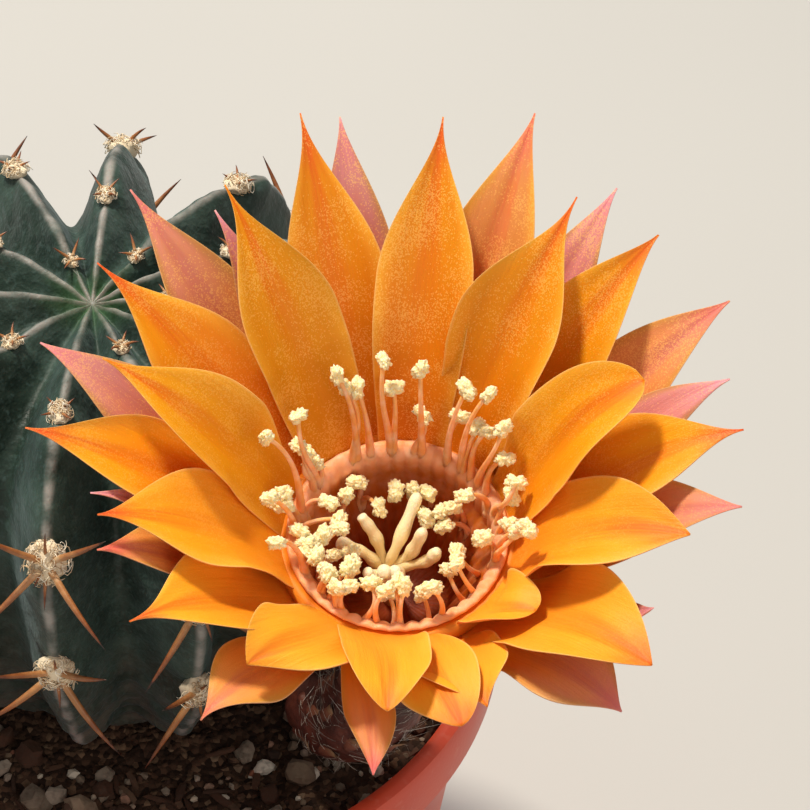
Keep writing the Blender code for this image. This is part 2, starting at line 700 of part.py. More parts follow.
def make_style(finish):
    bm = bmesh.new()
    base = Vector((0, 0, CUP_BOTTOM + GAP))
    top = Vector((0, 0, STYLE_TOP))
    tube_between(
        bm, [base, base + Vector((0, 0, 2 * MM)), top, top + Vector((0, 0, HEAD_LENGTH))],
        [1.5 * STYLE_RADIUS, STYLE_RADIUS, STYLE_RADIUS, HEAD_RADIUS], 10,
    )
    style = object_from(bm, "style", finish, 45)
    lobes = []
    for azimuth in LOBE_AZIMUTHS:
        bm = bmesh.new()
        reach = LOBE_REACH + 0.9 * math.cos(math.radians(3 * azimuth))
        tip = spot_at(azimuth, reach, LOBE_TIP)
        points = arched(top, tip, spot_at(azimuth, 0.25, 0.97) / MM, 3)
        tube_between(bm, points, LOBE_RADII, 5)
        lobes.append(object_from(bm, "lobe"))
    apply_boolean(style, "UNION", lobes, "MANIFOLD")
    style.data.transform(flower_matrix())
    return style


def main():
    clear_scene()
    make_pot(material("terracotta_red_plastic", (0.50, 0.055, 0.025), 0.45))
    make_soil(material("gritty_soil", (0.045, 0.03, 0.02), 0.95, 0.2))
    make_stem(material("glaucous_skin", (0.055, 0.085, 0.06), 0.6))
    make_floral_tube(material("scaly_tube", (0.09, 0.025, 0.02), 0.8, 0.3))
    make_tepals(
        "outer_tepals", [OUTER_WHORL], THROAT_RADIUS + COLLAR + GAP, -3.3 * MM,
        material("outer_tepal_pink", (0.75, 0.20, 0.13), 0.4),
    )
    make_tepals(
        "inner_tepals", [INNER_WHORL, MIDDLE_WHORL], THROAT_RADIUS, -0.2 * MM,
        material("inner_tepal_orange", (0.90, 0.30, 0.02), 0.38),
    )
    make_stamens(material("filament_and_pollen", (0.85, 0.42, 0.20), 0.5))
    make_style(material("stigma_cream", (0.86, 0.72, 0.42), 0.5))


main()
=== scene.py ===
"""The looks of a potted lobivia: a small ribbed cactus with one wide open flower in a plastic pot.

Metres, +Z up, the origin at the centre of the pot's underside. The flower leans towards -Y.
"""

import json
import math
import random
from collections import namedtuple

import bmesh
import bpy
import numpy as np
from mathutils import Matrix, Vector, noise

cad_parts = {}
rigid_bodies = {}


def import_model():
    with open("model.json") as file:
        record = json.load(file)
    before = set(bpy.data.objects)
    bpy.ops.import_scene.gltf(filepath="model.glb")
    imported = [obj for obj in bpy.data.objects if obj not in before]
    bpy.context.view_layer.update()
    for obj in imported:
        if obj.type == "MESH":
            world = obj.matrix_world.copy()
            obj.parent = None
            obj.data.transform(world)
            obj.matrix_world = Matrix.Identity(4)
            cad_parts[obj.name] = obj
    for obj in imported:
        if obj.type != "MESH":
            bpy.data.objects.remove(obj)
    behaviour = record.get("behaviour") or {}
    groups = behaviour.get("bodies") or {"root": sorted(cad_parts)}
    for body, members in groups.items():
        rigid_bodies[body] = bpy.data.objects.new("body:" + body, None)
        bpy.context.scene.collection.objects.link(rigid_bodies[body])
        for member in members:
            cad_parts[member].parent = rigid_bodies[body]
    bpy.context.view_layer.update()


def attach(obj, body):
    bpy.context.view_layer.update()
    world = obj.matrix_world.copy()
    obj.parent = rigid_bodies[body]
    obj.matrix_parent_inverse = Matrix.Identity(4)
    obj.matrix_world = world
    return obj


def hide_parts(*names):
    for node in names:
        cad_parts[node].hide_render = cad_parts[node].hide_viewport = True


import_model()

MM = 0.001
# Turns a size in millimetres into the scale of a texture that is laid in metres
PER_MM = 1000
# A direction that no path of the flower runs along
ASKEW = np.array((0.98, 0.2, 0.0))

# Pot
POT_HEIGHT = 84 * MM
RIM_RADIUS = 50 * MM
RIM_WIDTH = 2.8 * MM
RIM_DEPTH = 9 * MM
BODY_RADIUS = RIM_RADIUS - 3.4 * MM
FOOT_RADIUS = 36 * MM
WALL = 1.7 * MM
FLOOR = 2 * MM
DRAIN_RADIUS = 4 * MM
DRAIN_CIRCLE = 21 * MM
DRAIN_COUNT = 4
POT_COLUMNS = 200

# Soil
SOIL_TOP = 76 * MM
SOIL_BOTTOM = FLOOR + 0.3 * MM
STONE_COUNT = 900
STONE_SIZES = (0.35 * MM, 2.3 * MM)
BARK_COUNT = 260
# No grain lies within this of the stem's axis
UNDER_STEM = 24 * MM
SOIL_ROWS, SOIL_COLUMNS = 120, 320

# Stem: the axis, the height of the crown, and the azimuth of each rib in degrees
STEM_AXIS = np.array((-3.6, 4.0, 0.0)) * MM
STEM_CROWN = 136 * MM
STEM_HEIGHT = STEM_CROWN - SOIL_TOP
RIB_AZIMUTHS = (87, 116, 148, 186, 228, 264, 292, 320, 350, 380, 410)
RIB_COUNT = len(RIB_AZIMUTHS)
COLUMNS_PER_RIB = 40
STEM_ROWS = 186
# Distance from the axis and height over the crown, in mm, from the crown down to the soil
CREST = np.array((
    (0, 0), (4, 1.6), (10, 3.0), (18, 3.6), (26, 2.6), (32.5, -0.8), (36.8, -6.5),
    (38.8, -15), (38.6, -26), (36, -38), (31.8, -49), (26, -56.5), (20, -59.6),
))
VALLEY = np.array((
    (0, 0), (3, 0.2), (7, -0.2), (12, -1.2), (17.5, -3.2), (22, -6.2), (25, -11),
    (26.8, -18.5), (27.2, -28), (26.4, -39), (24.2, -49.5), (21.5, -56.5), (20, -59.6),
))
CREST_SHARPNESS = 0.85
# Distance from the nearest crest in mm, corkiness and youth, given at each point
STEM_VALUES = ("crest", "cork", "youth")

# Areoles, spaced down each rib in mm from the crown
AREOLE_SPACING = 20
AREOLE_START = 18
AREOLE_TURNS = 6
YOUNGEST_AREOLE = 7
OLDEST_AREOLE = 80
# A dent at each areole and a chin under it: height, distance below it and breadth in mm
AREOLE_RELIEF = ((-1.0, 0, 2.4), (0.8, 4.8, 3.0))
# The woolly curls are drawn coarser than real wool, which is too fine to show
CURL_STATIONS, CURL_RADIUS = 7, 0.1 * MM
SPINES_YOUNG, SPINES_GROWN = 34, 43
SPINE_LENGTH, YOUNG_SPINE, SHORTEST_SPINE = 13.5 * MM, 3 * MM, 1.5 * MM
# Turn about the areole from straight down, lean away from it in degrees, length as a share of
# the longest, and radius in mm
SPINES = (
    (48, 62, 1.0, 0.5), (132, 66, 0.85, 0.46), (228, 64, 0.8, 0.46), (312, 66, 1.0, 0.5),
    (4, 70, 0.45, 0.26), (342, 76, 0.3, 0.2), (178, 70, 0.42, 0.24),
)
STOUT_SPINES = 4

# Flower: the centre of its throat and the way that it faces
THROAT = np.array((35.9, -34.1, 133.2)) * MM
FLOWER_AXIS = np.array((0, -0.208, 0.978)) / math.hypot(0.208, 0.978)
FLOWER_FRAME = np.stack(((1.0, 0, 0), np.cross(FLOWER_AXIS, (1.0, 0, 0)), FLOWER_AXIS), 1)
THROAT_RADIUS = 13.4 * MM
TUBE_TOP = -5.3 * MM
CUP_BOTTOM = -22 * MM
CUP_INSIDE = (12.6 * MM, 5.2 * MM)

# Whorls of tepals: where they grow from in mm, the slope there in degrees, and the cupping
Whorl = namedtuple("Whorl", "root slope cupping")
INNER = Whorl((14.0, -0.8), 58, 0.5)
MIDDLE = Whorl((14.4, -3.0), 46, 0.42)
OUTER = Whorl((16.1, -4.3), 32, 0.25)
# Two of the inner whorl in front lie flat under a third
FLAT = INNER._replace(cupping=0.1)
TIP_SLOPE, TIP_SLOPE_SWING, ROOT_SLOPE_SWING = 12, 16, 8

# Each tepal: azimuth in degrees from +X towards the back, reach and rise of its tip and widest
# width in mm, and how drawn out its tip is. Then how far its middle bows and its root is swept
# sideways in mm, its twist and the droop of its tip in degrees, how pink, golden and red-tipped
# it is, and the width of its foot as a share of the widest.
Tepal = namedtuple(
    "Tepal", "whorl azimuth reach rise width point bow sweep twist droop pink gold red foot",
    defaults=(0, 0, 0, 0, 0, 0.3, 0.7, 0.7),
)
INNER_TEPALS = (
    Tepal(INNER, 82.6, 43.2, 27.9, 11.8, 2.0, gold=0.1),
    Tepal(INNER, 55.7, 38.5, 26.4, 12.8, 2.3, bow=-0.4, twist=6, gold=0.5),
    Tepal(INNER, 16.6, 30.6, 21.2, 12.2, 0.55, twist=4, gold=0.7, red=0),
    Tepal(INNER, -15.5, 35.6, 16.0, 12.8, 1.1, bow=0.6, twist=4, gold=0.3, red=0.3),
    Tepal(
        INNER, -40.8, 21.7, 6.1, 8.8, 0.55, bow=-1.8, twist=-4, droop=-8, gold=0.8, red=0,
        foot=0.95,
    ),
    Tepal(INNER, -92.2, 29.9, 10.4, 10.4, 0.8, bow=0.3, sweep=-2.4, gold=0.5, red=0.3, foot=0.9),
    Tepal(
        FLAT, -76.2, 31.4, 7.9, 10.6, 0.7, bow=-1.1, sweep=-1.0, twist=12, gold=0.2, red=0.5,
        foot=0.45,
    ),
    Tepal(
        FLAT, -127.4, 28.8, 8.8, 11.8, 1.0, bow=1.8, sweep=2.4, twist=-19, droop=-16, gold=0.8,
        red=0.2, foot=0.7,
    ),
    Tepal(INNER, -168.5, 35.9, 16.6, 13.0, 1.8, bow=0.4, gold=0.6, red=1),
    Tepal(INNER, 162.7, 36.6, 22.6, 12.0, 2.1, bow=0.5, gold=1, red=0.3),
    Tepal(INNER, 122.0, 39.5, 26.6, 12.4, 2.3, bow=0.3, gold=1, red=0.2),
    Tepal(MIDDLE, 105.0, 46.3, 26.2, 11.8, 2.0, gold=0.1),
    Tepal(MIDDLE, 69.4, 48.0, 25.9, 11.4, 1.6, pink=0.25, gold=1.1),
    Tepal(MIDDLE, 41.8, 42.4, 23.5, 12.0, 1.6, twist=8, gold=0.8),
    Tepal(MIDDLE, 5.0, 41.2, 18.3, 12.4, 1.8, bow=0.4, twist=4, red=1),
    Tepal(MIDDLE, -39.8, 38.4, 11.7, 14.0, 1.0, bow=0.6, gold=0.2, red=0.6),
    Tepal(
        MIDDLE, -69.4, 29.7, 7.6, 12.4, 1.4, bow=-0.5, sweep=-0.6, twist=-6, gold=0.3, red=0.5,
        foot=0.7,
    ),
    Tepal(MIDDLE, -147.7, 36.8, 13.3, 13.4, 2.4, bow=0.5, gold=0.4, red=0.9),
    Tepal(MIDDLE, 175.0, 44.3, 18.3, 12.4, 1.9, bow=0.4, gold=0.3, red=1),
    Tepal(MIDDLE, 145.7, 43.9, 22.6, 12.6, 2.2, bow=0.3, gold=0.1, red=1),
)
OUTER_TEPALS = (
    Tepal(OUTER, 98.9, 46.1, 24.4, 9.4, 1.5, pink=0.9, gold=0.5),
    Tepal(OUTER, 53.2, 44.8, 22.7, 9.0, 1.5, pink=1),
    Tepal(OUTER, 27.8, 45.4, 19.7, 11.2, 1.5, twist=6, pink=0.4, gold=0.6),
    Tepal(OUTER, 15.5, 41.3, 17.9, 8.0, 1.4, bow=0.3, pink=1.2),
    Tepal(OUTER, -6.7, 41.0, 14.5, 10.4, 1.4, bow=0.4, pink=0.5),
    Tepal(OUTER, -28.9, 34.3, 11.1, 6.5, 1.6, droop=60, pink=1.3),
    Tepal(OUTER, -45.9, 37.7, 5.0, 11.4, 1.3, bow=0.6, pink=0.55),
    Tepal(OUTER, -95.0, 32.6, -0.6, 6.0, 1.4, sweep=-3.6, pink=0.5, red=1.2),
    Tepal(OUTER, -129.3, 36.3, 4.8, 9.8, 1.8, droop=-16, pink=0.3, gold=0.4, foot=0.6),
    Tepal(OUTER, -164.4, 36.7, 13.1, 10.4, 1.8, pink=0.3, red=1),
    Tepal(OUTER, -175.8, 36.5, 14.2, 4.4, 1.6, pink=1.2),
    Tepal(OUTER, 159.8, 45.8, 18.6, 10.4, 1.5, bow=0.3, pink=0.8, gold=0.4),
    Tepal(OUTER, 132.3, 48.7, 22.2, 11.2, 2.0, bow=0.2, pink=0.55, gold=0.7),
    Tepal(OUTER, 124.5, 39.3, 22.9, 6.0, 1.6, pink=1.2),
)
TEPAL_ROWS, TEPAL_COLUMNS, RING_COLUMNS = 54, 21, 120
TEPAL_VALUES = (
    "along", "across", "under", "pink", "gold", "red", "back", "row", "column", "shade",
)
TEPAL_COLOURS = (
    (0.0, "#DE6604"), (0.2, "#EC7805"), (0.45, "#F48A07"), (0.7, "#F5980C"), (0.88, "#EC870E"),
    (1.0, "#E06612"),
)
WIDEST_AT = 0.52
BLADE_MIDDLE, BLADE_EDGE = 0.55 * MM, 0.16 * MM

# Anthers, in the flower's frame: azimuth in degrees, reach and height in mm
RIM_ANTHERS = (
    (96, 16.3, 14.1), (80, 16.0, 12.9), (92, 15.3, 9.5), (117, 16.2, 13.6), (114, 15.6, 11.1),
    (109, 15.5, 10.4), (58, 15.8, 12.0), (47, 16.2, 13.4), (78, 14.4, 5.5), (59, 14.8, 7.1),
    (49, 14.8, 7.1), (43, 14.9, 7.6), (34, 15.5, 10.6), (140, 15.7, 11.3), (162, 16.5, 14.2),
    (145, 14.7, 7.0), (141, 14.3, 4.9), (140, 13.6, 2.6), (27, 14.7, 6.9), (13, 14.7, 6.9),
    (12, 14.2, 4.5), (-17, 16.2, 9.5), (-15, 15.0, 7.4), (-1, 13.6, 3.0), (-179, 15.4, 9.0),
    (168, 14.3, 4.9), (173, 14.1, 4.1), (-154, 16.0, 10.0),
)
LEANING_ANTHERS = (
    (-13, 10.6, 3.4), (25, 8.9, 3.0), (-40, 9.3, 3.2), (-172, 12.0, 3.6), (-158, 11.7, 3.2),
    (-169, 9.3, 3.0), (-163, 10.6, 3.0), (-173, 7.1, 3.0), (174, 7.2, 2.6), (160, 8.9, 2.6),
    (-130, 9.0, 4.0), (-137, 11.6, 4.2), (-126, 12.3, 4.6), (-121, 11.2, 4.2), (-109, 9.6, 4.0),
    (-98, 10.4, 4.4), (-85, 9.7, 4.0), (-91, 8.5, 3.4), (-68, 10.8, 4.4), (-139, 11.1, 3.4),
    (-127, 12.0, 3.4), (-131, 8.4, 3.4), (-153, 11.0, 3.4), (-166, 9.2, 3.4), (-164, 11.5, 3.4),
)
DEEP_ANTHERS = (
    (120, 10.2, -2), (133, 9.4, -2), (92, 7.6, -2), (77, 8.2, -2.4), (63, 8.2, -2),
    (113, 6.0, -2.6), (43, 7.2, -2.6), (37, 8.6, -2), (51, 5.5, -3), (30, 6.6, -3.4),
    (-168, 8.1, -2), (-172, 5.9, -2.6), (-10, 7.4, -2.4), (-29, 7.0, -2.8), (-100, 6.8, -2.4),
    (-66, 7.4, -2.4),
)
# Each group's radius and height in mm where its filaments come free, their depth of colour
# there, lowest and darkest for the group down in the throat as painted shade, and how far they
# lean in
STAMEN_GROUPS = (
    (RIM_ANTHERS, 12.5, -0.9, 0.56, -0.05), (LEANING_ANTHERS, 11.9, -2.6, 0.56, 0.25),
    (DEEP_ANTHERS, 9.8, -9, 0.2, 0.25),
)
ANTHER_RADIUS = 1.02 * MM
RIDGES = 44
LINING = 0.9 * MM
# The lip of the lining: distance past its outside as a share of its thickness, height in mm
LINING_LIP = ((-1.1, -0.7), (-0.7, -0.1), (-0.1, 0.3), (0.5, 0.45))
# Depth of colour of the lining at heights in mm, darker further down as painted shade in the
# throat
LINING_COLOURS = ((-16, 0.0), (-9, 0.12), (-5, 0.28), (-2, 0.42), (-0.2, 0.52), (0.5, 0.6))

# Stigma lobes, each bent in the middle: (azimuth, reach, height) of its middle and of its tip
LOBES = (
    ((168, 4.4, -5.6), (171, 7.6, -3.6)),
    ((140, 3.4, -4.6), (141, 5.9, -1.4)),
    ((95, 1.4, -5.0), (69, 7.2, -1.0)),
    ((20, 1.6, -5.4), (20, 3.4, -0.6)),
    ((-12, 3.4, -5.2), (-10, 5.0, -2.2)),
    ((-118, 3.6, -5.0), (-134, 5.6, -2.0)),
    ((-108, 2.8, -5.0), (-114, 4.5, -1.6)),
    ((-88, 2.6, -5.0), (-96, 4.1, -1.6)),
)
STIGMA_SPOT = (178, 1.6, -8.6)
STYLE_RADIUS = 1.2 * MM

# Floral tube: points of its axis below the straight part, outer radii, and its scales
TUBE_BEND = np.array((
    (25.0, -21.4, 88.4), (28.8, -26.0, 89.6), (32.4, -28.6, 95.5), (34.8, -29.3, 104),
)) * MM
STALK_RADII = (5.2, 6.0, 6.3, 6.3, 6.7, 8.0)
CUP_OUTSIDE = ((-18, 8.6), (-14, 10.2), (-10, 12.6), (-7.5, 14.8), (-5.3, 16.4))
SCALE_ROWS = 11
SCALES_PER_ROW = 7
TUBE_HAIRS = 1500
HAIR_RADII = (0.04, 0.04, 0.038, 0.034, 0.026, 0.01)
TUBE_COLUMNS, STALK_ROWS, FIRST_SCALE, SCALE_SIDES = 72, 60, 6, 10

# Studio: a name, a place, a size, a power and a colour for each light, and where all point
LIGHTS = (
    ("key", (-0.28, 0.2, 1.12), 0.16, 13.0, "#FFF6E6"),
    ("fill", (0.5, -0.8, 0.6), 0.7, 2.4, "#FFF6EC"),
    ("rim", (-0.5, 0.7, 0.9), 0.7, 2.4, "#E8F0FF"),
)
LIT_SPOT = Vector((0.02, -0.015, 0.12))


def linear(code):
    """A colour in sRGB hex as linear red, green and blue, with alpha."""
    shares = [int(code[i : i + 2], 16) / 255 for i in (1, 3, 5)]
    return (*(s / 12.92 if s <= 0.04045 else ((s + 0.055) / 1.055) ** 2.4 for s in shares), 1)


def add(made, kind, *inputs, stops=(), out=0, numbered=None, **named):
    """Adds a shader node to a material, and returns one of the node's outputs.

    Inputs are set or linked in their order, by number or by name. Names in small letters are
    settings of the node, and stops are those of its ramp.
    """
    tree = made.node_tree
    node = tree.nodes.new("ShaderNode" + kind)
    sockets = {**dict(enumerate(inputs)), **(numbered or {})}
    for name, value in named.items():
        if name[0].isupper():
            sockets[name] = value
        else:
            setattr(node, name, value)
    for socket, value in sockets.items():
        if isinstance(value, bpy.types.NodeSocket):
            tree.links.new(value, node.inputs[socket])
        else:
            node.inputs[socket].default_value = value
    if stops:
        ramp = node.color_ramp.elements
        while len(ramp) < len(stops):
            ramp.new(1)
        for element, (place, code) in zip(ramp, stops):
            element.position = place
            element.color = linear(code)
    return node.outputs[out]


def finish(name, *values, **inputs):
    """A named material with its shader's own values set, where each point of it is, and the
    named values that the piece has there."""
    made = bpy.data.materials.new(name)
    made.use_nodes = True
    shader = made.node_tree.nodes["Principled BSDF"]
    for socket, value in inputs.items():
        shader.inputs[socket.replace("_", " ")].default_value = value
    at_point = [add(made, "Attribute", out="Fac", attribute_name=value) for value in values]
    return made, add(made, "TexCoord", out="Object"), *at_point


def coat(made, factor, stops, layers=(), reliefs=(), rough=None):
    """The material with its ramp of colours, its relief and its roughness laid on.

    Each layer over the ramp is its share and its colour. Each relief is its height, its depth
    in mm, below 0 for one that is inside out, and its strength.
    """
    colour = add(made, "ValToRGB", factor, stops=stops)
    for share, code in layers:
        over = linear(code) if isinstance(code, str) else code
        colour = add(made, "Mix", share, numbered={6: colour, 7: over}, out=2, data_type="RGBA")
    surface = {"Base Color": colour}
    if rough:
        surface["Roughness"] = rough
    for height, depth, strength in reliefs:
        under = {"Normal": surface["Normal"]} if "Normal" in surface else {}
        surface["Normal"] = add(
            made, "Bump", Height=height, Distance=abs(depth) * MM, Strength=strength,
            invert=depth < 0, **under,
        )
    shader = made.node_tree.nodes["Principled BSDF"]
    for socket, value in surface.items():
        made.node_tree.links.new(value, shader.inputs[socket])
    return made


def put(name, data):
    """An object of the scene."""
    made = bpy.data.objects.new(name, data)
    bpy.context.scene.collection.objects.link(made)
    return made


class Build:
    """Points, faces and named values at the points, gathered into one piece."""

    def __init__(self, *names):
        self.points, self.faces, self.count = [], [], 0
        self.values = {name: [] for name in names}

    def add(self, shape, **values):
        points, faces = shape
        self.points.append(points)
        self.faces += [block + self.count for block in faces]
        self.count += len(points)
        for name, kept in self.values.items():
            kept.append(np.broadcast_to(np.asarray(values.get(name, 0), float), (len(points),)))

    def add_rod(self, path, radii, sides, **values):
        """One round strand, with values given at the stations of its path."""
        spread = {name: on_rings(value, sides) for name, value in values.items()}
        self.add(strands(path[None], radii, sides), **spread)

    def add_tuft(self, paths, radii, shades):
        """Many fine strands of three sides, each of one shade."""
        points, faces = strands(paths, radii, 3)
        self.add((points, faces), shade=np.repeat(shades, len(points) // len(paths)))

    def piece(self, name, material, node, slot):
        """The object, which rides with the part in place of a node."""
        mesh = bpy.data.meshes.new(name)
        faces = [face for block in self.faces for face in block.tolist()]
        mesh.from_pydata(np.vstack(self.points), [], faces)
        for value, kept in self.values.items():
            layer = mesh.attributes.new(value, "FLOAT", "POINT")
            layer.data.foreach_set("value", np.concatenate(kept).astype(np.float32))
        bm = bmesh.new()
        bm.from_mesh(mesh)
        bmesh.ops.recalc_face_normals(bm, faces=bm.faces)
        bm.to_mesh(mesh)
        bm.free()
        mesh.shade_smooth()
        mesh.materials.append(material)
        made = put(name, mesh)
        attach(made, "root")
        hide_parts(node)
        return made


def unit(vectors):
    """The same directions, all of length 1."""
    return vectors / np.linalg.norm(vectors, axis=-1, keepdims=True)


def full_turn(count):
    """Angles all the way round."""
    return math.tau * np.arange(count) / count


def spokes(turns, side, other):
    """Directions at some turns between two square ones, at each place that has those two."""
    return (
        np.cos(turns)[:, None] * side[..., None, :] + np.sin(turns)[:, None] * other[..., None, :]
    )


def on_rings(values, around):
    """One value for each ring of points, spread over its points and over the two end points."""
    return np.append(np.repeat(values, around), (values[0], values[-1]))


def band(grid):
    """Faces between rows of point numbers that run all the way round."""
    after = np.roll(grid, -1, axis=1)
    return np.stack((grid[:-1], after[:-1], after[1:], grid[1:]), -1).reshape(-1, 4)


def closed_faces(rows, around):
    """Faces over rings of points, with two more points in the middle of the ends."""
    grid = np.arange(rows * around).reshape(rows, around)
    after = np.roll(grid, -1, axis=1)
    ends = (
        np.stack((after[0], grid[0], np.full(around, rows * around)), -1),
        np.stack((grid[-1], after[-1], np.full(around, rows * around + 1)), -1),
    )
    return band(grid), np.vstack(ends)


def skin(rings):
    """A closed surface over rings of points."""
    points = np.vstack((rings.reshape(-1, 3), rings[0].mean(0), rings[-1].mean(0)))
    return points, closed_faces(*rings.shape[:2])


def strands(paths, radii, sides):
    """Closed round strands along paths, an array of (strand, station, place)."""
    count, stations = paths.shape[:2]
    along = unit(np.gradient(paths, axis=1))
    chord = paths[:, -1] - paths[:, 0]
    least = np.eye(3)[np.argmin(np.abs(chord), axis=1)]
    side = np.cross(chord, least)[:, None] + 0 * along
    side = unit(side - along * np.sum(side * along, axis=2, keepdims=True))
    out = spokes(full_turn(sides), side, np.cross(along, side))
    rings = (paths[:, :, None] + radii[:, None, None] * out).reshape(count, -1, 3)
    points = np.concatenate((rings, paths[:, :1], paths[:, -1:]), axis=1)
    first = (points.shape[1] * np.arange(count))[:, None, None]
    faces = closed_faces(stations, sides)
    return points.reshape(-1, 3), [(block + first).reshape(-1, block.shape[1]) for block in faces]


def ball(level):
    """A ball of radius 1 as points and faces."""
    bm = bmesh.new()
    bmesh.ops.create_icosphere(bm, subdivisions=level, radius=1)
    points = np.array([vert.co for vert in bm.verts])
    faces = np.array([[vert.index for vert in face.verts] for face in bm.faces])
    bm.free()
    return points, faces


def turn_about(axis, angle):
    """A turn as a matrix, about +X, +Z or another direction."""
    return np.array(Matrix.Rotation(angle, 3, axis))


def noise_at(points, size, seed=0):
    """Soft noise from -1 to 1 at each point, with lumps of a size."""
    away = Vector((17.3 * seed, 5.1 * seed, 9.7 * seed))
    return np.array([noise.noise(Vector(point) / size + away) for point in points])


def smooth_at(points, places):
    """Points at fractional indexes of a list, on a smooth curve through its points."""
    points = np.asarray(points, float)
    last = len(points) - 1
    i = np.clip(np.asarray(places, float).astype(int), 0, last - 1)
    u = (np.asarray(places) - i)[..., None]
    a, b = points[np.maximum(i - 1, 0)], points[i]
    c, d = points[i + 1], points[np.minimum(i + 2, last)]
    return b + 0.5 * u * (c - a + u * (2 * a - 5 * b + 4 * c - d + u * (3 * (b - c) + d - a)))


def along_all(points, count):
    """Fractional indexes that run evenly through a list of points."""
    return np.linspace(0, len(points) - 1, count)


def turned(profile, columns):
    """Rings of points of a profile of (radius, height) turned about +Z."""
    profile = np.asarray(profile, float)
    turn = full_turn(columns)
    flat = np.broadcast_to(profile[:, 1:], (len(profile), columns))
    return np.stack((profile[:, :1] * np.cos(turn), profile[:, :1] * np.sin(turn), flat), -1)


def in_flower(points):
    """Points of the flower's own frame in the part's frame."""
    return THROAT + points @ FLOWER_FRAME.T


def around_axis(azimuth, radius, height):
    """A point from an azimuth in degrees, and a radius and height in mm."""
    turn = math.radians(azimuth)
    return np.array((radius * math.cos(turn), radius * math.sin(turn), height)) * MM


# Materials of the flower


def tepal_finish(name, streak, margin, under, painted_glint_strength):
    """Living petal skin: satiny, finely veined lengthwise, with a grain of cells, some with a
    painted sparkle.
    """
    made, place, along, across, beneath, pink, gold, red, back, row, column, shade = finish(
        name, *TEPAL_VALUES, Roughness=0.48, Specular_IOR_Level=0.22, Subsurface_Weight=0.15,
        Subsurface_Scale=1.2 * MM, Subsurface_Radius=(1.0, 0.45, 0.12),
    )
    # Veins 0.35 mm apart that run the whole blade, and broad patches of deeper colour
    lay = add(made, "CombineXYZ", column, row, shade)
    veins, patches = (
        add(
            made, "TexNoise", Scale=1.0, Detail=detail,
            Vector=add(made, "VectorMath", lay, (lines, 0.09, 40), operation="MULTIPLY"),
        )
        for lines, detail in ((2.8, 2.0), (0.3, 3.0))
    )
    shift = add(made, "MapRange", patches, 0.3, 0.7, -0.14, 0.14)
    where = add(made, "Math", along, shift, operation="ADD")
    golden = add(made, "Math", gold, 0.75, operation="MULTIPLY")
    # Painted shade darkens the tepals at the back, and painted light brightens those in front
    painted_back_shade = add(made, "MapRange", back, 0.5, 1.0, 0.0, 0.55)
    pale = add(made, "MapRange", back, 0.6, 0.1, 0.0, 0.35)
    # A deeper streak down the middle, strongest past the root
    middle = add(made, "Math", across, across, operation="MULTIPLY")
    middle = add(made, "MapRange", middle, 0.0, 0.12, 1.0, 0.0, interpolation_type="SMOOTHSTEP")
    middle = add(made, "Math", middle, veins, operation="MULTIPLY")
    strength = add(made, "MapRange", along, 0.3, 0.8, 0.15, 1.2)
    middle = add(made, "Math", middle, strength, operation="MULTIPLY", use_clamp=True)
    # Pinkness of the whole tepal, more towards its tip
    flush = add(made, "MapRange", where, 0.1, 0.85, 0.0, 1.25)
    flush = add(made, "Math", flush, pink, operation="MULTIPLY", use_clamp=True)
    # Margins of another colour, and a painted highlight along the very rim
    aside = add(made, "Math", across, operation="ABSOLUTE")
    edge = add(made, "MapRange", aside, 0.6, 1.0, 0.0, 0.6, interpolation_type="SMOOTHSTEP")
    rim = add(made, "MapRange", aside, 0.95, 1.0, 0.0, 0.3)
    # Tips drawn out red, or blushing where the tepal is pink
    drawn = add(made, "MapRange", along, 0.8, 0.98, 0.0, 0.85, interpolation_type="SMOOTHSTEP")
    drawn = add(made, "Math", drawn, red, operation="MULTIPLY")
    blush = add(made, "MapRange", along, 0.8, 1.0, 0.0, 0.8)
    blush = add(made, "Math", blush, pink, operation="MULTIPLY", use_clamp=True)
    # Painted sparkle on cells drawn 0.14 mm across to show, thickest where the noise is high and
    # on the tepals at the back
    cells = add(made, "TexVoronoi", Vector=place, Scale=PER_MM / 0.14)
    dust = add(made, "TexNoise", Vector=place, Scale=PER_MM / 6, Detail=2.0)
    least = add(made, "MapRange", dust, 0.35, 0.65, 0.9, 0.5)
    painted_glint_spots = add(made, "Math", cells.node.outputs["Color"], least, operation="GREATER_THAN")
    for factor in (painted_glint_strength, back):
        painted_glint_spots = add(made, "Math", painted_glint_spots, factor, operation="MULTIPLY")
    # Among these layers: painted shade at the back, painted light in front, a painted rim
    # highlight and painted sparkle
    layers = (
        (golden, "#E39C0E"), (painted_back_shade, "#C87404"), (pale, "#FFB23C"), (middle, streak),
        (flush, "#D28680"), (edge, margin), (rim, "#F8D0A0"), (drawn, "#D8481F"),
        (blush, "#DC97A4"), (beneath, under), (painted_glint_spots, "#FFCE70"),
    )
    return coat(made, where, TEPAL_COLOURS, layers, [(veins, 0.12, 0.6), (cells, 0.05, 0.5)])


def filament_finish():
    """Living filament: smooth and waxy, pale pink where fused, salmon up the free part, and dark
    brown low in the throat as painted shade.
    """
    made, place, depth = finish(
        "living_filament", "depth", Roughness=0.5, Specular_IOR_Level=0.25,
        Subsurface_Weight=0.3, Subsurface_Scale=1.5 * MM, Subsurface_Radius=(1.0, 0.4, 0.2),
    )
    # Below 0.5 the ramp darkens as painted shade low in the throat
    stops = (
        (0.0, "#8E3206"), (0.2, "#B4560E"), (0.36, "#D47C34"), (0.5, "#F0A87A"),
        (0.62, "#F0A468"), (0.8, "#F09C52"), (1.0, "#F6B870"),
    )
    mottle = add(made, "TexNoise", Vector=place, Scale=PER_MM / 1.6, Detail=3.0)
    pale = add(made, "MapRange", mottle, 0.4, 0.75, 0.0, 0.6)
    pale = add(made, "Math", pale, depth, operation="MULTIPLY")
    fine = add(made, "TexNoise", Vector=place, Scale=PER_MM / 0.35, Detail=2.0)
    return coat(made, depth, stops, [(pale, "#F9DACA")], [(fine, 0.08, 0.6)])


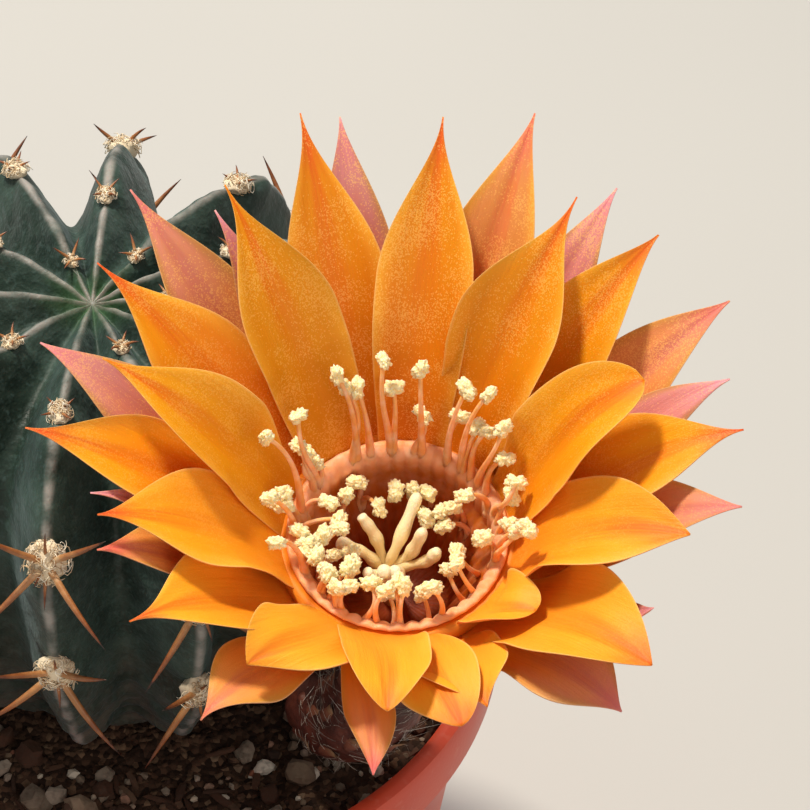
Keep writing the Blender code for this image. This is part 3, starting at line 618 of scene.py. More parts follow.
def pollen_finish():
    """Ripe anther: dry, powdery pollen in crumbs, without any gloss."""
    made, place = finish(
        "ripe_pollen", Roughness=0.85, Specular_IOR_Level=0.25, Subsurface_Weight=0.4,
        Subsurface_Scale=0.8 * MM, Subsurface_Radius=(1.0, 0.85, 0.5),
    )
    crumbs = add(made, "TexVoronoi", Vector=place, Scale=PER_MM / 0.3)
    stops = ((0.0, "#FFF8D6"), (0.4, "#FFF1C0"), (0.8, "#FCE09C"))
    return coat(made, crumbs, stops, reliefs=[(crumbs, -0.16, 0.8)])


def stigma_finish():
    """Living stigma: moist cream flesh with fine papillae, slightly see-through."""
    made, place, depth = finish(
        "moist_stigma", "depth", Roughness=0.4, Specular_IOR_Level=0.4, Subsurface_Weight=0.35,
        Subsurface_Scale=1.2 * MM, Subsurface_Radius=(1.0, 0.75, 0.4),
    )
    # Painted shade darkens the style towards its foot, low in the throat
    stops = ((0.0, "#9A6A2C"), (0.35, "#E2BE7C"), (0.7, "#F6DFA8"), (1.0, "#FBEDC8"))
    papillae = add(made, "TexVoronoi", Vector=place, Scale=PER_MM / 0.22)
    return coat(made, depth, stops, reliefs=[(papillae, -0.08, 0.6)])


def tube_finish():
    """Scaly floral tube: dark red-brown living skin under dry scale tips."""
    made, place, scale, inside = finish(
        "scaly_tube_skin", "scale", "inside", Roughness=0.55, Specular_IOR_Level=0.4
    )
    blotch = add(made, "TexNoise", Vector=place, Scale=PER_MM / 4, Detail=4.0)
    stops = ((0.3, "#2C120E"), (0.5, "#4A1F16"), (0.7, "#6B3322"))
    dry_stops = ((0.0, "#4A1F16"), (0.45, "#7A4632"), (0.8, "#8C6A4C"), (1.0, "#3A211A"))
    dry = add(made, "ValToRGB", scale, stops=dry_stops)
    cover = add(made, "Math", scale, 0.02, operation="GREATER_THAN")
    # The inside of the cup glows a deep red-brown
    layers = ((cover, dry), (inside, "#C4520C"))
    rough = add(made, "TexNoise", Vector=place, Scale=PER_MM / 0.7, Detail=4.0)
    return coat(made, blotch, stops, layers, [(rough, 0.25, 0.8)])


def hair_finish(name, codes, roughness):
    """Dry plant hair: soft and matt, each hair a little darker or paler than the next."""
    made, place, shade = finish(
        name, "shade", Roughness=roughness, Specular_IOR_Level=0.35, Sheen_Weight=0.2
    )
    stops = [(i / (len(codes) - 1), code) for i, code in enumerate(codes)]
    fuzz = add(made, "TexNoise", Vector=place, Scale=PER_MM / 0.3, Detail=2.0)
    return coat(made, shade, stops, reliefs=[(fuzz, 0.05, 0.5)])


# Materials of the stem


def cactus_finish():
    """Living cactus skin: dark green under a grey-blue wax bloom, with a pale painted highlight
    along the crests, corky and grey at the foot."""
    made, place, crest, cork, youth = finish(
        "waxy_cactus_skin", *STEM_VALUES, Specular_IOR_Level=0.35, Sheen_Weight=0.14,
        Sheen_Roughness=0.45, Sheen_Tint=linear("#B9CDD6"), Subsurface_Weight=0.06,
        Subsurface_Scale=1.5 * MM,
    )
    bloom = add(made, "TexNoise", Vector=place, Scale=PER_MM / 9, Detail=5.0, Roughness=0.6)
    stops = ((0.28, "#15241C"), (0.45, "#21332A"), (0.58, "#31453C"), (0.75, "#485D56"))
    specks = add(made, "TexNoise", Vector=place, Scale=PER_MM / 0.8, Detail=3.0)
    fine = add(made, "MapRange", specks, 0.52, 0.7, 0.0, 0.4)
    # The crests are worn in patches
    # Patches of the painted crest highlight, and of the cork at the foot
    cork_and_highlight_patches = add(made, "TexNoise", Vector=place, Scale=PER_MM / 4, Detail=5.0)
    cork_and_highlight_patches = add(made, "MapRange", cork_and_highlight_patches, 0.35, 0.62, 0.15, 1.0)
    # The pale line along each crest is a painted highlight
    line = add(made, "MapRange", crest, 0.1, 1.15, 0.85, 0.0, interpolation_type="SMOOTHSTEP")
    line = add(made, "Math", line, cork_and_highlight_patches, operation="MULTIPLY")
    corky = add(made, "Math", cork, cork_and_highlight_patches, operation="MULTIPLY", use_clamp=True)
    layers = ((fine, "#4C625E"), (youth, "#3E6637"), (corky, "#5E584E"), (line, "#A19B95"))
    rough = add(made, "MapRange", bloom, 0.3, 0.7, 0.44, 0.68)
    # Pores 0.5 mm apart over slow wrinkles
    pores = add(made, "TexVoronoi", Vector=place, Scale=PER_MM / 0.5)
    return coat(made, bloom, stops, layers, [(pores, 0.06, 0.6), (specks, 0.22, 0.7)], rough)


def spine_finish():
    """Cactus spine: hard horn, pale at the foot, orange-brown, nearly black at the point."""
    made, place, along = finish(
        "horn_spine", "along", Roughness=0.42, Specular_IOR_Level=0.5, Subsurface_Weight=0.1,
        Subsurface_Scale=0.6 * MM,
    )
    streak = add(made, "TexNoise", Vector=place, Scale=PER_MM / 1.1, Detail=3.0)
    shift = add(made, "MapRange", streak, 0.3, 0.7, -0.12, 0.12)
    where = add(made, "Math", along, shift, operation="ADD")
    stops = (
        (0.0, "#CDAE88"), (0.2, "#B07C4C"), (0.6, "#8A5028"), (0.85, "#62331C"), (1.0, "#26140E"),
    )
    return coat(made, where, stops, reliefs=[(streak, 0.05, 0.5)])


# Materials of the pot and the soil


def pot_finish():
    """Injection-moulded polypropylene: even colour, a soft satin gloss and a faint orange peel,
    with dust and lime where water has dried."""
    made, place = finish(
        "moulded_polypropylene", Specular_IOR_Level=0.5, Subsurface_Weight=0.05,
        Subsurface_Scale=1.5 * MM,
    )
    cloud = add(made, "TexNoise", Vector=place, Scale=PER_MM / 24, Detail=5.0)
    stops = ((0.3, "#BE3F26"), (0.6, "#CC4A2E"), (0.8, "#D25A3C"))
    dust = add(made, "TexNoise", Vector=place, Scale=PER_MM / 1.3, Detail=5.0)
    dusty = add(made, "MapRange", dust, 0.58, 0.78, 0.0, 0.12)
    rough = add(made, "MapRange", cloud, 0.3, 0.7, 0.34, 0.5)
    peel = add(made, "TexNoise", Vector=place, Scale=PER_MM / 0.6, Detail=2.0)
    return coat(made, cloud, stops, [(dusty, "#D9A48E")], [(peel, 0.05, 0.6)], rough)


def soil_finish():
    """Damp cactus compost: dark peat crumbs with sand in it, matt all over."""
    made, place = finish("damp_compost", Roughness=0.95, Specular_IOR_Level=0.2)
    crumbs = add(made, "TexVoronoi", Vector=place, Scale=PER_MM / 0.8)
    stops = (
        (0.0, "#1C120D"), (0.4, "#33231A"), (0.7, "#4A3528"), (0.9, "#6B5542"), (1.0, "#8D7A66"),
    )
    return coat(made, crumbs.node.outputs["Color"], stops, reliefs=[(crumbs, -0.4, 0.9)])


def grit_finish():
    """Crushed stone, pumice and bark: dry and matt, each grain its own colour."""
    made, place, shade = finish(
        "crushed_grit", "shade", Roughness=0.82, Specular_IOR_Level=0.3
    )
    stops = (
        (0.0, "#2B1C14"), (0.2, "#4A3022"), (0.36, "#63503F"), (0.54, "#7C7062"),
        (0.68, "#94887A"), (0.8, "#7E4C38"), (0.92, "#B4A996"), (1.0, "#D0C8BA"),
    )
    vein = add(made, "TexNoise", Vector=place, Scale=PER_MM / 0.9, Detail=5.0)
    dark = add(made, "MapRange", vein, 0.45, 0.75, 0.0, 0.6)
    return coat(made, shade, stops, [(dark, "#3E3026")], [(vein, 0.2, 0.8)])


def floor_finish():
    """Matt white board, a studio table."""
    made, place = finish("matt_white_board", Roughness=0.8, Specular_IOR_Level=0.2)
    tone = add(made, "TexNoise", Vector=place, Scale=6.0, Detail=2.0)
    return coat(made, tone, ((0.0, "#BDBCB9"), (1.0, "#C4C3C0")))


# Pot and soil


def make_pot():
    lip_top = RIM_RADIUS - RIM_WIDTH
    body_top = POT_HEIGHT - RIM_DEPTH
    profile = (
        (0.02 * MM, 0), (0.4 * MM, 0),
        (FOOT_RADIUS - 1.6 * MM, 0), (FOOT_RADIUS - 0.5 * MM, 0.3 * MM), (FOOT_RADIUS, 1.4 * MM),
        (BODY_RADIUS, body_top - 0.6 * MM), (BODY_RADIUS + 0.5 * MM, body_top),
        (RIM_RADIUS - 0.9 * MM, body_top), (RIM_RADIUS - 0.2 * MM, body_top + 0.3 * MM),
        (RIM_RADIUS, body_top + 1.1 * MM), (RIM_RADIUS, POT_HEIGHT - 1.3 * MM),
        (RIM_RADIUS - 0.3 * MM, POT_HEIGHT - 0.4 * MM), (RIM_RADIUS - 1.1 * MM, POT_HEIGHT),
        (lip_top + 0.9 * MM, POT_HEIGHT), (lip_top + 0.2 * MM, POT_HEIGHT - 0.3 * MM),
        (lip_top, POT_HEIGHT - 1.0 * MM), (BODY_RADIUS - WALL + 0.5 * MM, body_top),
        (FOOT_RADIUS - WALL, FLOOR + 1 * MM), (FOOT_RADIUS - WALL - 1 * MM, FLOOR),
        (0.4 * MM, FLOOR), (0.02 * MM, FLOOR),
    )
    build = Build()
    build.add(skin(turned(profile, POT_COLUMNS)))
    pot = build.piece("pot_moulding", pot_finish(), "pot", "pot_plastic")
    group = bpy.data.collections.new("drains")
    bpy.context.scene.collection.children.link(group)
    for k in range(DRAIN_COUNT):
        turn = math.tau * (k + 0.5) / DRAIN_COUNT
        place = (DRAIN_CIRCLE * math.cos(turn), DRAIN_CIRCLE * math.sin(turn), 0)
        bm = bmesh.new()
        bmesh.ops.create_cone(
            bm, cap_ends=True, segments=40, radius1=DRAIN_RADIUS, radius2=DRAIN_RADIUS,
            depth=3 * FLOOR, matrix=Matrix.Translation(place),
        )
        mesh = bpy.data.meshes.new("drain")
        bm.to_mesh(mesh)
        bm.free()
        group.objects.link(bpy.data.objects.new("drain", mesh))
    cut = pot.modifiers.new("Drains", "BOOLEAN")
    cut.operation = "DIFFERENCE"
    cut.operand_type = "COLLECTION"
    cut.collection = group
    bpy.context.view_layer.update()
    graph = bpy.context.evaluated_depsgraph_get()
    drilled = bpy.data.meshes.new_from_object(pot.evaluated_get(graph))
    pot.modifiers.remove(cut)
    pot.data = drilled
    drilled.set_sharp_from_angle(angle=math.radians(40))
    for cutter in list(group.objects):
        bpy.data.objects.remove(cutter, do_unlink=True)
    bpy.data.collections.remove(group)


def soil_lift(points):
    """How far the crumbly top stands over its mean level, in metres."""
    lumps = ((0.7, 7, 0), (0.5, 2.6, 1), (0.35, 1.0, 2), (0.2, 0.5, 3))
    return sum(height * noise_at(points, size * MM, seed) for height, size, seed in lumps) * MM


def make_soil():
    top_radius = BODY_RADIUS - WALL - 0.5 * MM
    foot = FOOT_RADIUS - WALL
    shares = np.linspace(0.985, 0.36, SOIL_ROWS)
    profile = [
        (0.3 * MM, SOIL_BOTTOM), (foot - 2 * MM, SOIL_BOTTOM), (foot - 0.5 * MM, FLOOR + 1.8 * MM),
        (top_radius, SOIL_TOP - 1.2 * MM), *((top_radius * share, SOIL_TOP) for share in shares),
    ]
    rings = turned(profile, SOIL_COLUMNS)
    top = rings[-SOIL_ROWS:]
    top[..., 2] += soil_lift(top.reshape(-1, 3)).reshape(SOIL_ROWS, -1)
    build = Build()
    build.add(skin(rings))
    build.piece("compost", soil_finish(), "soil", "gritty_soil")
    rng = random.Random(5)
    grit = Build("shade")
    small, large = ball(1), ball(2)
    for k in range(STONE_COUNT + BARK_COUNT):
        bark = k >= STONE_COUNT
        size = rng.uniform(*STONE_SIZES) if rng.random() < 0.3 else rng.uniform(0.35, 1.0) * MM
        turn = rng.uniform(0, math.tau)
        away = math.sqrt(rng.uniform(0.35, 1)) * (top_radius - size - 0.4 * MM)
        spot = np.array((away * math.cos(turn), away * math.sin(turn), SOIL_TOP))
        if math.hypot(*(spot - STEM_AXIS)[:2]) < UNDER_STEM:
            continue
        points, faces = large if size > 1.1 * MM else small
        shape = (2.6, rng.uniform(0.5, 0.9), 0.4) if bark else (1, rng.uniform(0.7, 1), 0.75)
        stretched = points * np.array(shape) * (0.8 * MM if bark else size)
        uneven = 1 + 0.5 * noise_at(points, 0.8, k)[:, None]
        tilt = turn_about("Z", rng.uniform(0, math.tau)) @ turn_about("X", rng.uniform(-0.5, 0.5))
        spot[2] += soil_lift(spot[None])[0] + 0.25 * size
        shade = rng.uniform(0, 0.3) if bark else rng.random() ** 0.8
        grit.add((spot + stretched * uneven @ tilt.T, [faces]), shade=shade)
    made = grit.piece("grit", grit_finish(), "soil", "gritty_soil")
    made.data.set_sharp_from_angle(angle=math.radians(35))


# Stem


def rib_columns():
    """Azimuth in degrees and nearness to a crest, 1 on it, of each column of the stem."""
    crests = np.array((*RIB_AZIMUTHS, RIB_AZIMUTHS[0] + 360), float)
    part = np.arange(COLUMNS_PER_RIB) / COLUMNS_PER_RIB
    azimuths = (crests[:-1, None] + part * np.diff(crests)[:, None]).ravel()
    near = 2 * np.minimum(part, 1 - part)
    share = 0.5 * (1 + np.cos(np.pi * near**CREST_SHARPNESS))
    return azimuths, np.tile(share, RIB_COUNT)


def down_crest():
    """Many fractional indexes of the crest's points, and their distances in mm down it."""
    places = along_all(CREST, 2000)
    steps = np.linalg.norm(np.diff(smooth_at(CREST, places), axis=0), axis=1)
    return places, np.concatenate(([0], np.cumsum(steps)))


def areole_arcs(rib):
    """Distances in mm down a rib at which its areoles sit."""
    first = (AREOLE_START - rib * AREOLE_TURNS * AREOLE_SPACING / RIB_COUNT) % AREOLE_SPACING
    arcs = np.arange(first, OLDEST_AREOLE, AREOLE_SPACING)
    return arcs[arcs > YOUNGEST_AREOLE]


def from_crest(rings):
    """Distance in mm round the stem from the nearest crest, at each point of its rings."""
    steps = np.linalg.norm(np.roll(rings, -1, axis=1) - rings, axis=2)
    away = np.zeros(steps.shape)
    half = COLUMNS_PER_RIB // 2
    for first in range(0, steps.shape[1], COLUMNS_PER_RIB):
        left = np.cumsum(steps[:, first - 1 - np.arange(half)], axis=1)
        away[:, first + 1 : first + half + 1] = np.cumsum(steps[:, first : first + half], axis=1)
        away[:, first - half + np.arange(half)] = left[:, ::-1]
        away[:, first] = 0
    return away / MM


def make_stem():
    azimuths, share = rib_columns()
    fine, arcs = down_crest()
    places = np.interp(np.linspace(0.5, arcs[-1], STEM_ROWS), arcs, fine)
    row_arcs = np.interp(places, fine, arcs)
    outer, inner = smooth_at(CREST, places) * MM, smooth_at(VALLEY, places) * MM
    spot = inner[:, None] + share[None, :, None] * (outer - inner)[:, None]
    turn = np.radians(azimuths)
    rings = np.stack(
        (spot[..., 0] * np.cos(turn), spot[..., 0] * np.sin(turn), STEM_CROWN + spot[..., 1]), -1
    )
    around = np.roll(rings, -1, axis=1) - np.roll(rings, 1, axis=1)
    out = unit(np.cross(np.gradient(rings, axis=0), around))
    dents = np.zeros((RIB_COUNT, STEM_ROWS))
    for rib in range(RIB_COUNT):
        for arc in areole_arcs(rib):
            for height, below, breadth in AREOLE_RELIEF:
                dents[rib] += height * np.exp(-(((row_arcs - arc - below) / breadth) ** 2))
    # Each column is dented with the rib whose crest is nearest
    column = np.arange(RIB_COUNT * COLUMNS_PER_RIB)
    rib_of = (column + COLUMNS_PER_RIB // 2) // COLUMNS_PER_RIB % RIB_COUNT
    lift = dents[rib_of].T * share**3 * MM
    flat = rings.reshape(-1, 3)
    depth = np.clip((STEM_CROWN - flat[:, 2]) / STEM_HEIGHT, 0, 1)
    lift = lift.ravel() + 0.5 * MM * noise_at(flat, 9 * MM) * np.clip(4 * depth, 0, 1)
    lift += 0.16 * MM * noise_at(flat, 1.8 * MM, 2)
    # Corky wrinkles that run round the foot
    cork = np.clip((depth - 0.55) / 0.35, 0, 1)
    squashed = flat * np.array((1, 1, 2.2))
    lift += cork * MM * (0.9 * noise_at(squashed, 5 * MM, 3) + 0.5 * noise_at(squashed, 2 * MM, 4))
    rings += out * lift.reshape(rings.shape[:2])[..., None]
    foot = rings[-1:] * np.array((1, 1, 0)) + np.array((0, 0, SOIL_TOP - 8 * MM))
    crest = from_crest(rings)
    youth = 0.8 * np.clip(1 - np.broadcast_to(row_arcs[:, None], crest.shape) / 9, 0, 1)
    # The foot in the soil and the two end points are hidden
    pad = np.zeros(len(azimuths) + 2)
    values = {
        name: np.append(value, pad) for name, value in zip(STEM_VALUES, (crest, cork, youth))
    }
    build = Build(*STEM_VALUES)
    build.add(skin(np.concatenate((rings, foot)) + STEM_AXIS), **values)
    build.piece("ribbed_body", cactus_finish(), "stem", "cactus_skin")


def in_bloom(points):
    """True where the points of a spine would touch the flower or its tube."""
    seen = (points - THROAT) @ FLOWER_FRAME
    reach = np.hypot(seen[:, 0], seen[:, 1])
    cup = (seen[:, 2] < TUBE_TOP) & (reach < 19 * MM + 0.4 * (seen[:, 2] - TUBE_TOP))
    stalk = np.linalg.norm(points - TUBE_BEND[1], axis=1) < 16 * MM
    side = seen[:, 1] / np.maximum(reach, MM)
    under = -8 * MM + (reach - 16 * MM) * (0.62 + 0.25 * side)
    petals = (seen[:, 2] > TUBE_TOP) & (reach < 52 * MM) & (seen[:, 2] > under)
    return bool(np.any(cup | stalk | petals))


def areole_frames():
    """Centre, axes (down the rib, sideways, outwards), age in mm and azimuth of each areole."""
    fine, arcs = down_crest()
    for rib, azimuth in enumerate(RIB_AZIMUTHS):
        turn = turn_about("Z", math.radians(azimuth))
        for arc in areole_arcs(rib):
            place = np.interp(arc, arcs, fine)
            beside = (place - 0.1, place, min(place + 0.1, len(CREST) - 1))
            before, spot, after = smooth_at(CREST, np.array(beside)) * MM
            down = turn @ unit(np.array(((after - before)[0], 0, (after - before)[1])))
            side = turn @ np.array((0, 1, 0))
            centre = STEM_AXIS + (0, 0, STEM_CROWN) + turn @ np.array((spot[0], 0, spot[1]))
            yield centre, np.stack((down, side, np.cross(down, side)), 1), arc, azimuth


def draw(rng, low, high, count):
    """A random number for each of a row of strands."""
    return rng.uniform(low, high, count)[:, None]


def make_areoles():
    rng = np.random.default_rng(3)
    wool, spines = Build("shade"), Build("along")
    points, faces = ball(3)
    t = np.linspace(0, 1, CURL_STATIONS)[:, None, None]
    radii = CURL_RADIUS * np.linspace(1, 0.4, CURL_STATIONS)
    sunk = np.array((0, 0, 0.35 * MM))
    for centre, frame_of, arc, azimuth in areole_frames():
        age = min(arc / SPINES_GROWN, 1)
        size = (0.7 + 1.6 * age**1.5) * MM
        uneven = 1 + 0.22 * noise_at(points * 2, 1, azimuth + arc)[:, None]
        uneven += 0.2 * noise_at(points, 0.22, arc)[:, None]
        bed = points * np.array((1.3, 1.0, 0.66)) * size * uneven - sunk
        wool.add((centre + bed @ frame_of.T, [faces]), shade=0.55)
        # Felted curls over the bed
        count = int(34 + 56 * age)
        turn = rng.uniform(0, math.tau, count)
        lean = np.sqrt(rng.uniform(0, 1, count)) * 1.35
        way = np.stack((np.sin(lean) * np.cos(turn), np.sin(lean) * np.sin(turn), np.cos(lean)), 1)
        root = way * np.array((1.2, 0.9, 0.56)) * size - sunk
        sideways = np.cross(way, ASKEW)
        upright = np.cross(way, sideways)
        phase = draw(rng, 0, math.tau, count)
        whirl = math.tau * draw(rng, 0.5, 1.3, count) * t + phase
        curl = (np.cos(whirl) - np.cos(phase)) * sideways
        curl += (np.sin(whirl) - np.sin(phase)) * upright
        length = draw(rng, 0.1, 0.55, count) * size
        path = root + t * way * length + curl * draw(rng, 0.2, 0.42, count) * size
        path = np.transpose(path, (1, 0, 2)) @ frame_of.T + centre
        wool.add_tuft(path, radii, rng.uniform(0, 1, count))
        make_spines(spines, rng, centre, frame_of, arc)
    felt = hair_finish("felted_areole_wool", ("#C2A27A", "#DEC6A0", "#EFE2C8", "#FAF4E6"), 0.9)
    wool.piece("areole_wool", felt, "stem", "cactus_skin")
    spines.piece("spines", spine_finish(), "stem", "cactus_skin")


def make_spines(spines, rng, centre, frame_of, arc):
    """The spines of one areole: a fan of stout ones and a few fine ones, short while young."""
    grown = min(max((arc - SPINES_YOUNG) / (SPINES_GROWN - SPINES_YOUNG), 0), 1)
    t = np.linspace(0, 1, 11)
    for k, (around, lean, share, radius) in enumerate(SPINES):
        if k >= STOUT_SPINES and grown < 0.5:
            continue
        length = max(SPINE_LENGTH * grown, YOUNG_SPINE) * share * rng.uniform(0.9, 1.08)
        around = math.radians(around + rng.uniform(-7, 7))
        lean = math.radians(lean + rng.uniform(-5, 5))
        way = np.array((
            math.sin(lean) * math.cos(around), math.sin(lean) * math.sin(around), math.cos(lean)
        ))
        bow = np.array((0, 0, 1.0)) * rng.uniform(0.02, 0.1) + rng.normal(0, 0.03, 3)
        path = (way * t[:, None] + bow * np.sin(np.pi * t)[:, None] * 0.5) * length
        path = (path + way * 0.5 * MM * (1 - t)[:, None]) @ frame_of.T + centre
        # Spines are shorter where they would run into the flower
        while length > SHORTEST_SPINE and in_bloom(path[4:]):
            path = centre + 0.8 * (path - centre)
            length *= 0.8
        if length <= SHORTEST_SPINE:
            continue
        thick = radius * MM * (0.4 + 0.6 * grown) * (1 - 0.93 * t**2.2)
        thick[0] *= 1.2
        spines.add_rod(path, thick, 8, along=t)


# Flower


def tube_path():
    """Points of the tube's axis from the stem up to the bottom of the flower's cup."""
    bend = np.vstack((TUBE_BEND, THROAT + FLOWER_AXIS * CUP_BOTTOM))
    radii = smooth_at(np.array(STALK_RADII)[:, None], along_all(STALK_RADII, STALK_ROWS))
    return smooth_at(bend, along_all(bend, STALK_ROWS)), radii[:, 0] * MM


def cup_radius(height):
    """Inner radius of the tube's cup at a height in the flower's frame."""
    depth = np.maximum((TUBE_TOP - height) / (TUBE_TOP - CUP_BOTTOM), 0)
    return CUP_INSIDE[0] + (CUP_INSIDE[1] - CUP_INSIDE[0]) * depth**0.8


def make_floral_tube():
    path, radii = tube_path()
    outside = np.array(CUP_OUTSIDE) * MM
    heights = smooth_at(outside, along_all(outside, 30))
    centres = np.vstack((path, THROAT + heights[:, :1] * FLOWER_AXIS))
    radii = np.concatenate((radii, heights[:, 1]))
    along = unit(np.gradient(centres, axis=0))
    side = unit(np.cross(along, ASKEW))
    other = np.cross(along, side)
    ways = spokes(full_turn(TUBE_COLUMNS), side, other)
    shell = centres[:, None] + radii[:, None, None] * ways
    lump = 0.35 * MM * noise_at(shell.reshape(-1, 3), 2.5 * MM, 5).reshape(shell.shape[:2])
    fade = np.clip((len(centres) - np.arange(len(centres))) / 6, 0, 1)[:, None]
    shell += ways * (lump * fade)[..., None]
    depths = np.linspace(TUBE_TOP, CUP_BOTTOM, 14)
    inner = (THROAT + depths[:, None] * FLOWER_AXIS)[:, None]
    inner = inner + cup_radius(depths)[:, None, None] * ways[-1]
    build = Build("scale", "inside")
    inside = on_rings(np.repeat((0.0, 1.0), (len(shell), len(inner))), TUBE_COLUMNS)
    build.add(skin(np.concatenate((shell, inner))), inside=inside)
    rng = np.random.default_rng(8)
    last = len(centres) - 5
    for row in range(SCALE_ROWS):
        i = int(FIRST_SCALE + (last - FIRST_SCALE) * (row / (SCALE_ROWS - 1)) ** 0.9)
        for k in range(SCALES_PER_ROW):
            angle = math.tau * (k + 0.5 * (row % 2)) / SCALES_PER_ROW + rng.uniform(-0.15, 0.15)
            out = math.cos(angle) * side[i] + math.sin(angle) * other[i]
            root = centres[i] + out * (radii[i] - 0.5 * MM)
            length = (4.4 + 1.6 * row / SCALE_ROWS) * MM * rng.uniform(0.85, 1.15)
            # The topmost scales end under the tepals
            length = min(length, TUBE_TOP + 0.6 * MM - (root - THROAT) @ FLOWER_AXIS)
            shape, values = scale_shape(root, along[i], out, length)
            build.add(shape, scale=values)
    build.piece("scaly_tube", tube_finish(), "floral_tube", "woolly_tube")
    make_tube_hairs(rng, centres, radii, along, side, other)


def scale_shape(root, along, out, length):
    """A pointed scale with a fleshy foot, and how far along it each point is."""
    across = np.cross(out, along)
    s = np.linspace(0, 1, 12)[:, None]
    centre = root + along * length * s + out * (0.5 + 1.3 * s**2 - 0.5 * s) * MM
    half = 1.5 * MM * np.sqrt(np.clip(s * 4, 0.35, 1)) * (1 - s**1.8) + 0.05 * MM
    thick = 0.45 * MM * (1 - 0.85 * s)
    turn = full_turn(SCALE_SIDES)
    wide = half * np.cos(turn)
    high = thick * np.sin(turn) - 0.4 * half * np.cos(turn) ** 2
    rings = centre[:, None] + wide[..., None] * across + high[..., None] * out
    return skin(rings), 0.03 + 0.97 * on_rings(s[:, 0], SCALE_SIDES)


def make_tube_hairs(rng, centres, radii, along, side, other):
    """Long silky hairs from the axils of the scales, wandering up the tube."""
    count = TUBE_HAIRS
    last = len(centres) - 8
    i = (FIRST_SCALE + (last - FIRST_SCALE) * rng.uniform(0, 1, count) ** 0.8).astype(int)
    turn = draw(rng, 0, math.tau, count)
    out = np.cos(turn) * side[i] + np.sin(turn) * other[i]
    around = np.cross(along[i], out)
    root = centres[i] + out * (radii[i] - 0.2 * MM)[:, None]
    length = draw(rng, 1.2, 3.8, count) * MM
    way = out * draw(rng, 0.25, 0.75, count) + along[i] * draw(rng, 0.3, 1.0, count)
    way = unit(way + around * rng.normal(0, 0.5, count)[:, None])
    bend = -out * draw(rng, 0.0, 0.5, count) + around * rng.normal(0, 0.5, count)[:, None]
    t = np.linspace(0, 1, len(HAIR_RADII))[:, None, None]
    path = np.transpose(root + (t * way + t * t * bend) * length, (1, 0, 2))
    hairs = Build("shade")
    hairs.add_tuft(path, np.array(HAIR_RADII) * MM, rng.uniform(0, 1, count))
    silk = hair_finish("silky_tube_hair", ("#4A3A32", "#7C6C60", "#A99C90", "#CFC6BC"), 0.6)
    hairs.piece("tube_hairs", silk, "floral_tube", "woolly_tube")


def tepal_half_width(s, point, foot):
    """Half the width at s from root to tip, as a share of the widest half."""
    rise = foot + (1 - foot) * np.sin(0.5 * np.pi * np.clip(s / WIDEST_AT, 0, 1)) ** 1.3
    u = np.clip((s - WIDEST_AT) / (1 - WIDEST_AT), 0, 1)
    return np.where(s < WIDEST_AT, rise, np.maximum(1 - u**2, 0) ** point)


def tepal_run(tepal, index, s, towards_back):
    """Radius and height of the tepal's middle line at each s, on a curve of four points."""
    first = (np.array(tepal.whorl.root) + (0.5 * ((0.618 * index) % 1) - 0.25, 0)) * MM
    last = np.array((tepal.reach, tepal.rise)) * MM
    handle = 0.36 * np.linalg.norm(last - first)
    a = math.radians(tepal.whorl.slope + ROOT_SLOPE_SWING * towards_back)
    b = math.radians(TIP_SLOPE + TIP_SLOPE_SWING * towards_back + tepal.droop)
    second = first + handle * np.array((math.cos(a), math.sin(a)))
    third = last - handle * np.array((math.cos(b), math.sin(b)))
    t = 1 - s
    return t**3 * first + 3 * t * t * s * second + 3 * t * s * s * third + s**3 * last


def tepal_shape(tepal, index):
    """A thin cupped blade with a channel down its middle, ruffled margins and a drawn-out tip."""
    azimuth = math.radians(tepal.azimuth)
    towards_back = math.sin(azimuth)
    s = np.linspace(0, 1, TEPAL_ROWS)[:, None] ** 0.9
    v = np.sin(0.5 * np.pi * np.linspace(-1, 1, TEPAL_COLUMNS))
    spot = tepal_run(tepal, index, s, towards_back)
    run = unit(np.gradient(spot, axis=0))
    half = 0.5 * tepal.width * MM * tepal_half_width(s, tepal.point, tepal.foot) + 0.1 * MM
    phase = 2.3 * index
    swell = np.sin(np.pi * s)
    open_out = np.clip(s / 0.4, 0, 1) ** 1.5
    cup = tepal.whorl.cupping * half * (1 - 0.5 * s) * open_out * v**2
    channel = -0.35 * MM * np.exp(-((v / 0.16) ** 2)) * swell
    pleats = 0.09 * MM * np.cos(9 * v + phase) * swell
    ruffle = 0.55 * MM * (v**3 * np.sin(9 * s + phase) + v**2 * np.sin(7 * s - phase)) * swell
    twist = np.radians(tepal.twist) * s
    lift = cup + channel + pleats + ruffle + half * v * np.sin(twist)
    moved = (tepal.bow * swell + tepal.sweep * (1 - s) ** 1.5) * MM
    wide = half * v * np.cos(twist) + moved
    thin = BLADE_EDGE + (BLADE_MIDDLE - BLADE_EDGE) * (1 - v**4) * (1 - 0.6 * s)
    thin = np.minimum(thin, 0.9 * half)
    blades = []
    for face in (0.5, -0.5):
        up = lift + face * thin
        radius = spot[:, :1] - run[:, 1:] * up
        height = spot[:, 1:] + run[:, :1] * up
        # The foot wraps round the throat, the blade runs straight out
        wrap = (1 - s) ** 3
        bend = np.clip(wide / radius, -1.3, 1.3)
        aside = (1 - wrap) * wide + wrap * radius * np.sin(bend)
        radius = radius * (1 - wrap + wrap * np.cos(bend))
        blades.append(np.stack((radius, aside, height), -1))
    rings = np.concatenate((blades[0], blades[1][:, ::-1]), axis=1)
    steps = np.linalg.norm(np.diff(spot, axis=0), axis=1)
    length = np.concatenate(([0], np.cumsum(steps))) / MM
    around = np.concatenate((v, v[::-1]))
    columns, ends = len(around), (0, 0)
    values = {
        "along": on_rings(s[:, 0], columns),
        "across": np.append(np.tile(around, TEPAL_ROWS), ends),
        "under": np.append(np.tile(np.repeat((0.0, 1.0), len(v)), TEPAL_ROWS), ends),
        "row": on_rings(length, columns),
        "column": np.append(half * around / MM, ends),
        "pink": tepal.pink, "gold": tepal.gold, "red": tepal.red,
        "back": 0.5 + 0.5 * towards_back, "shade": 0.37 * index,
    }
    return skin(in_flower(rings @ turn_about("Z", azimuth).T)), values


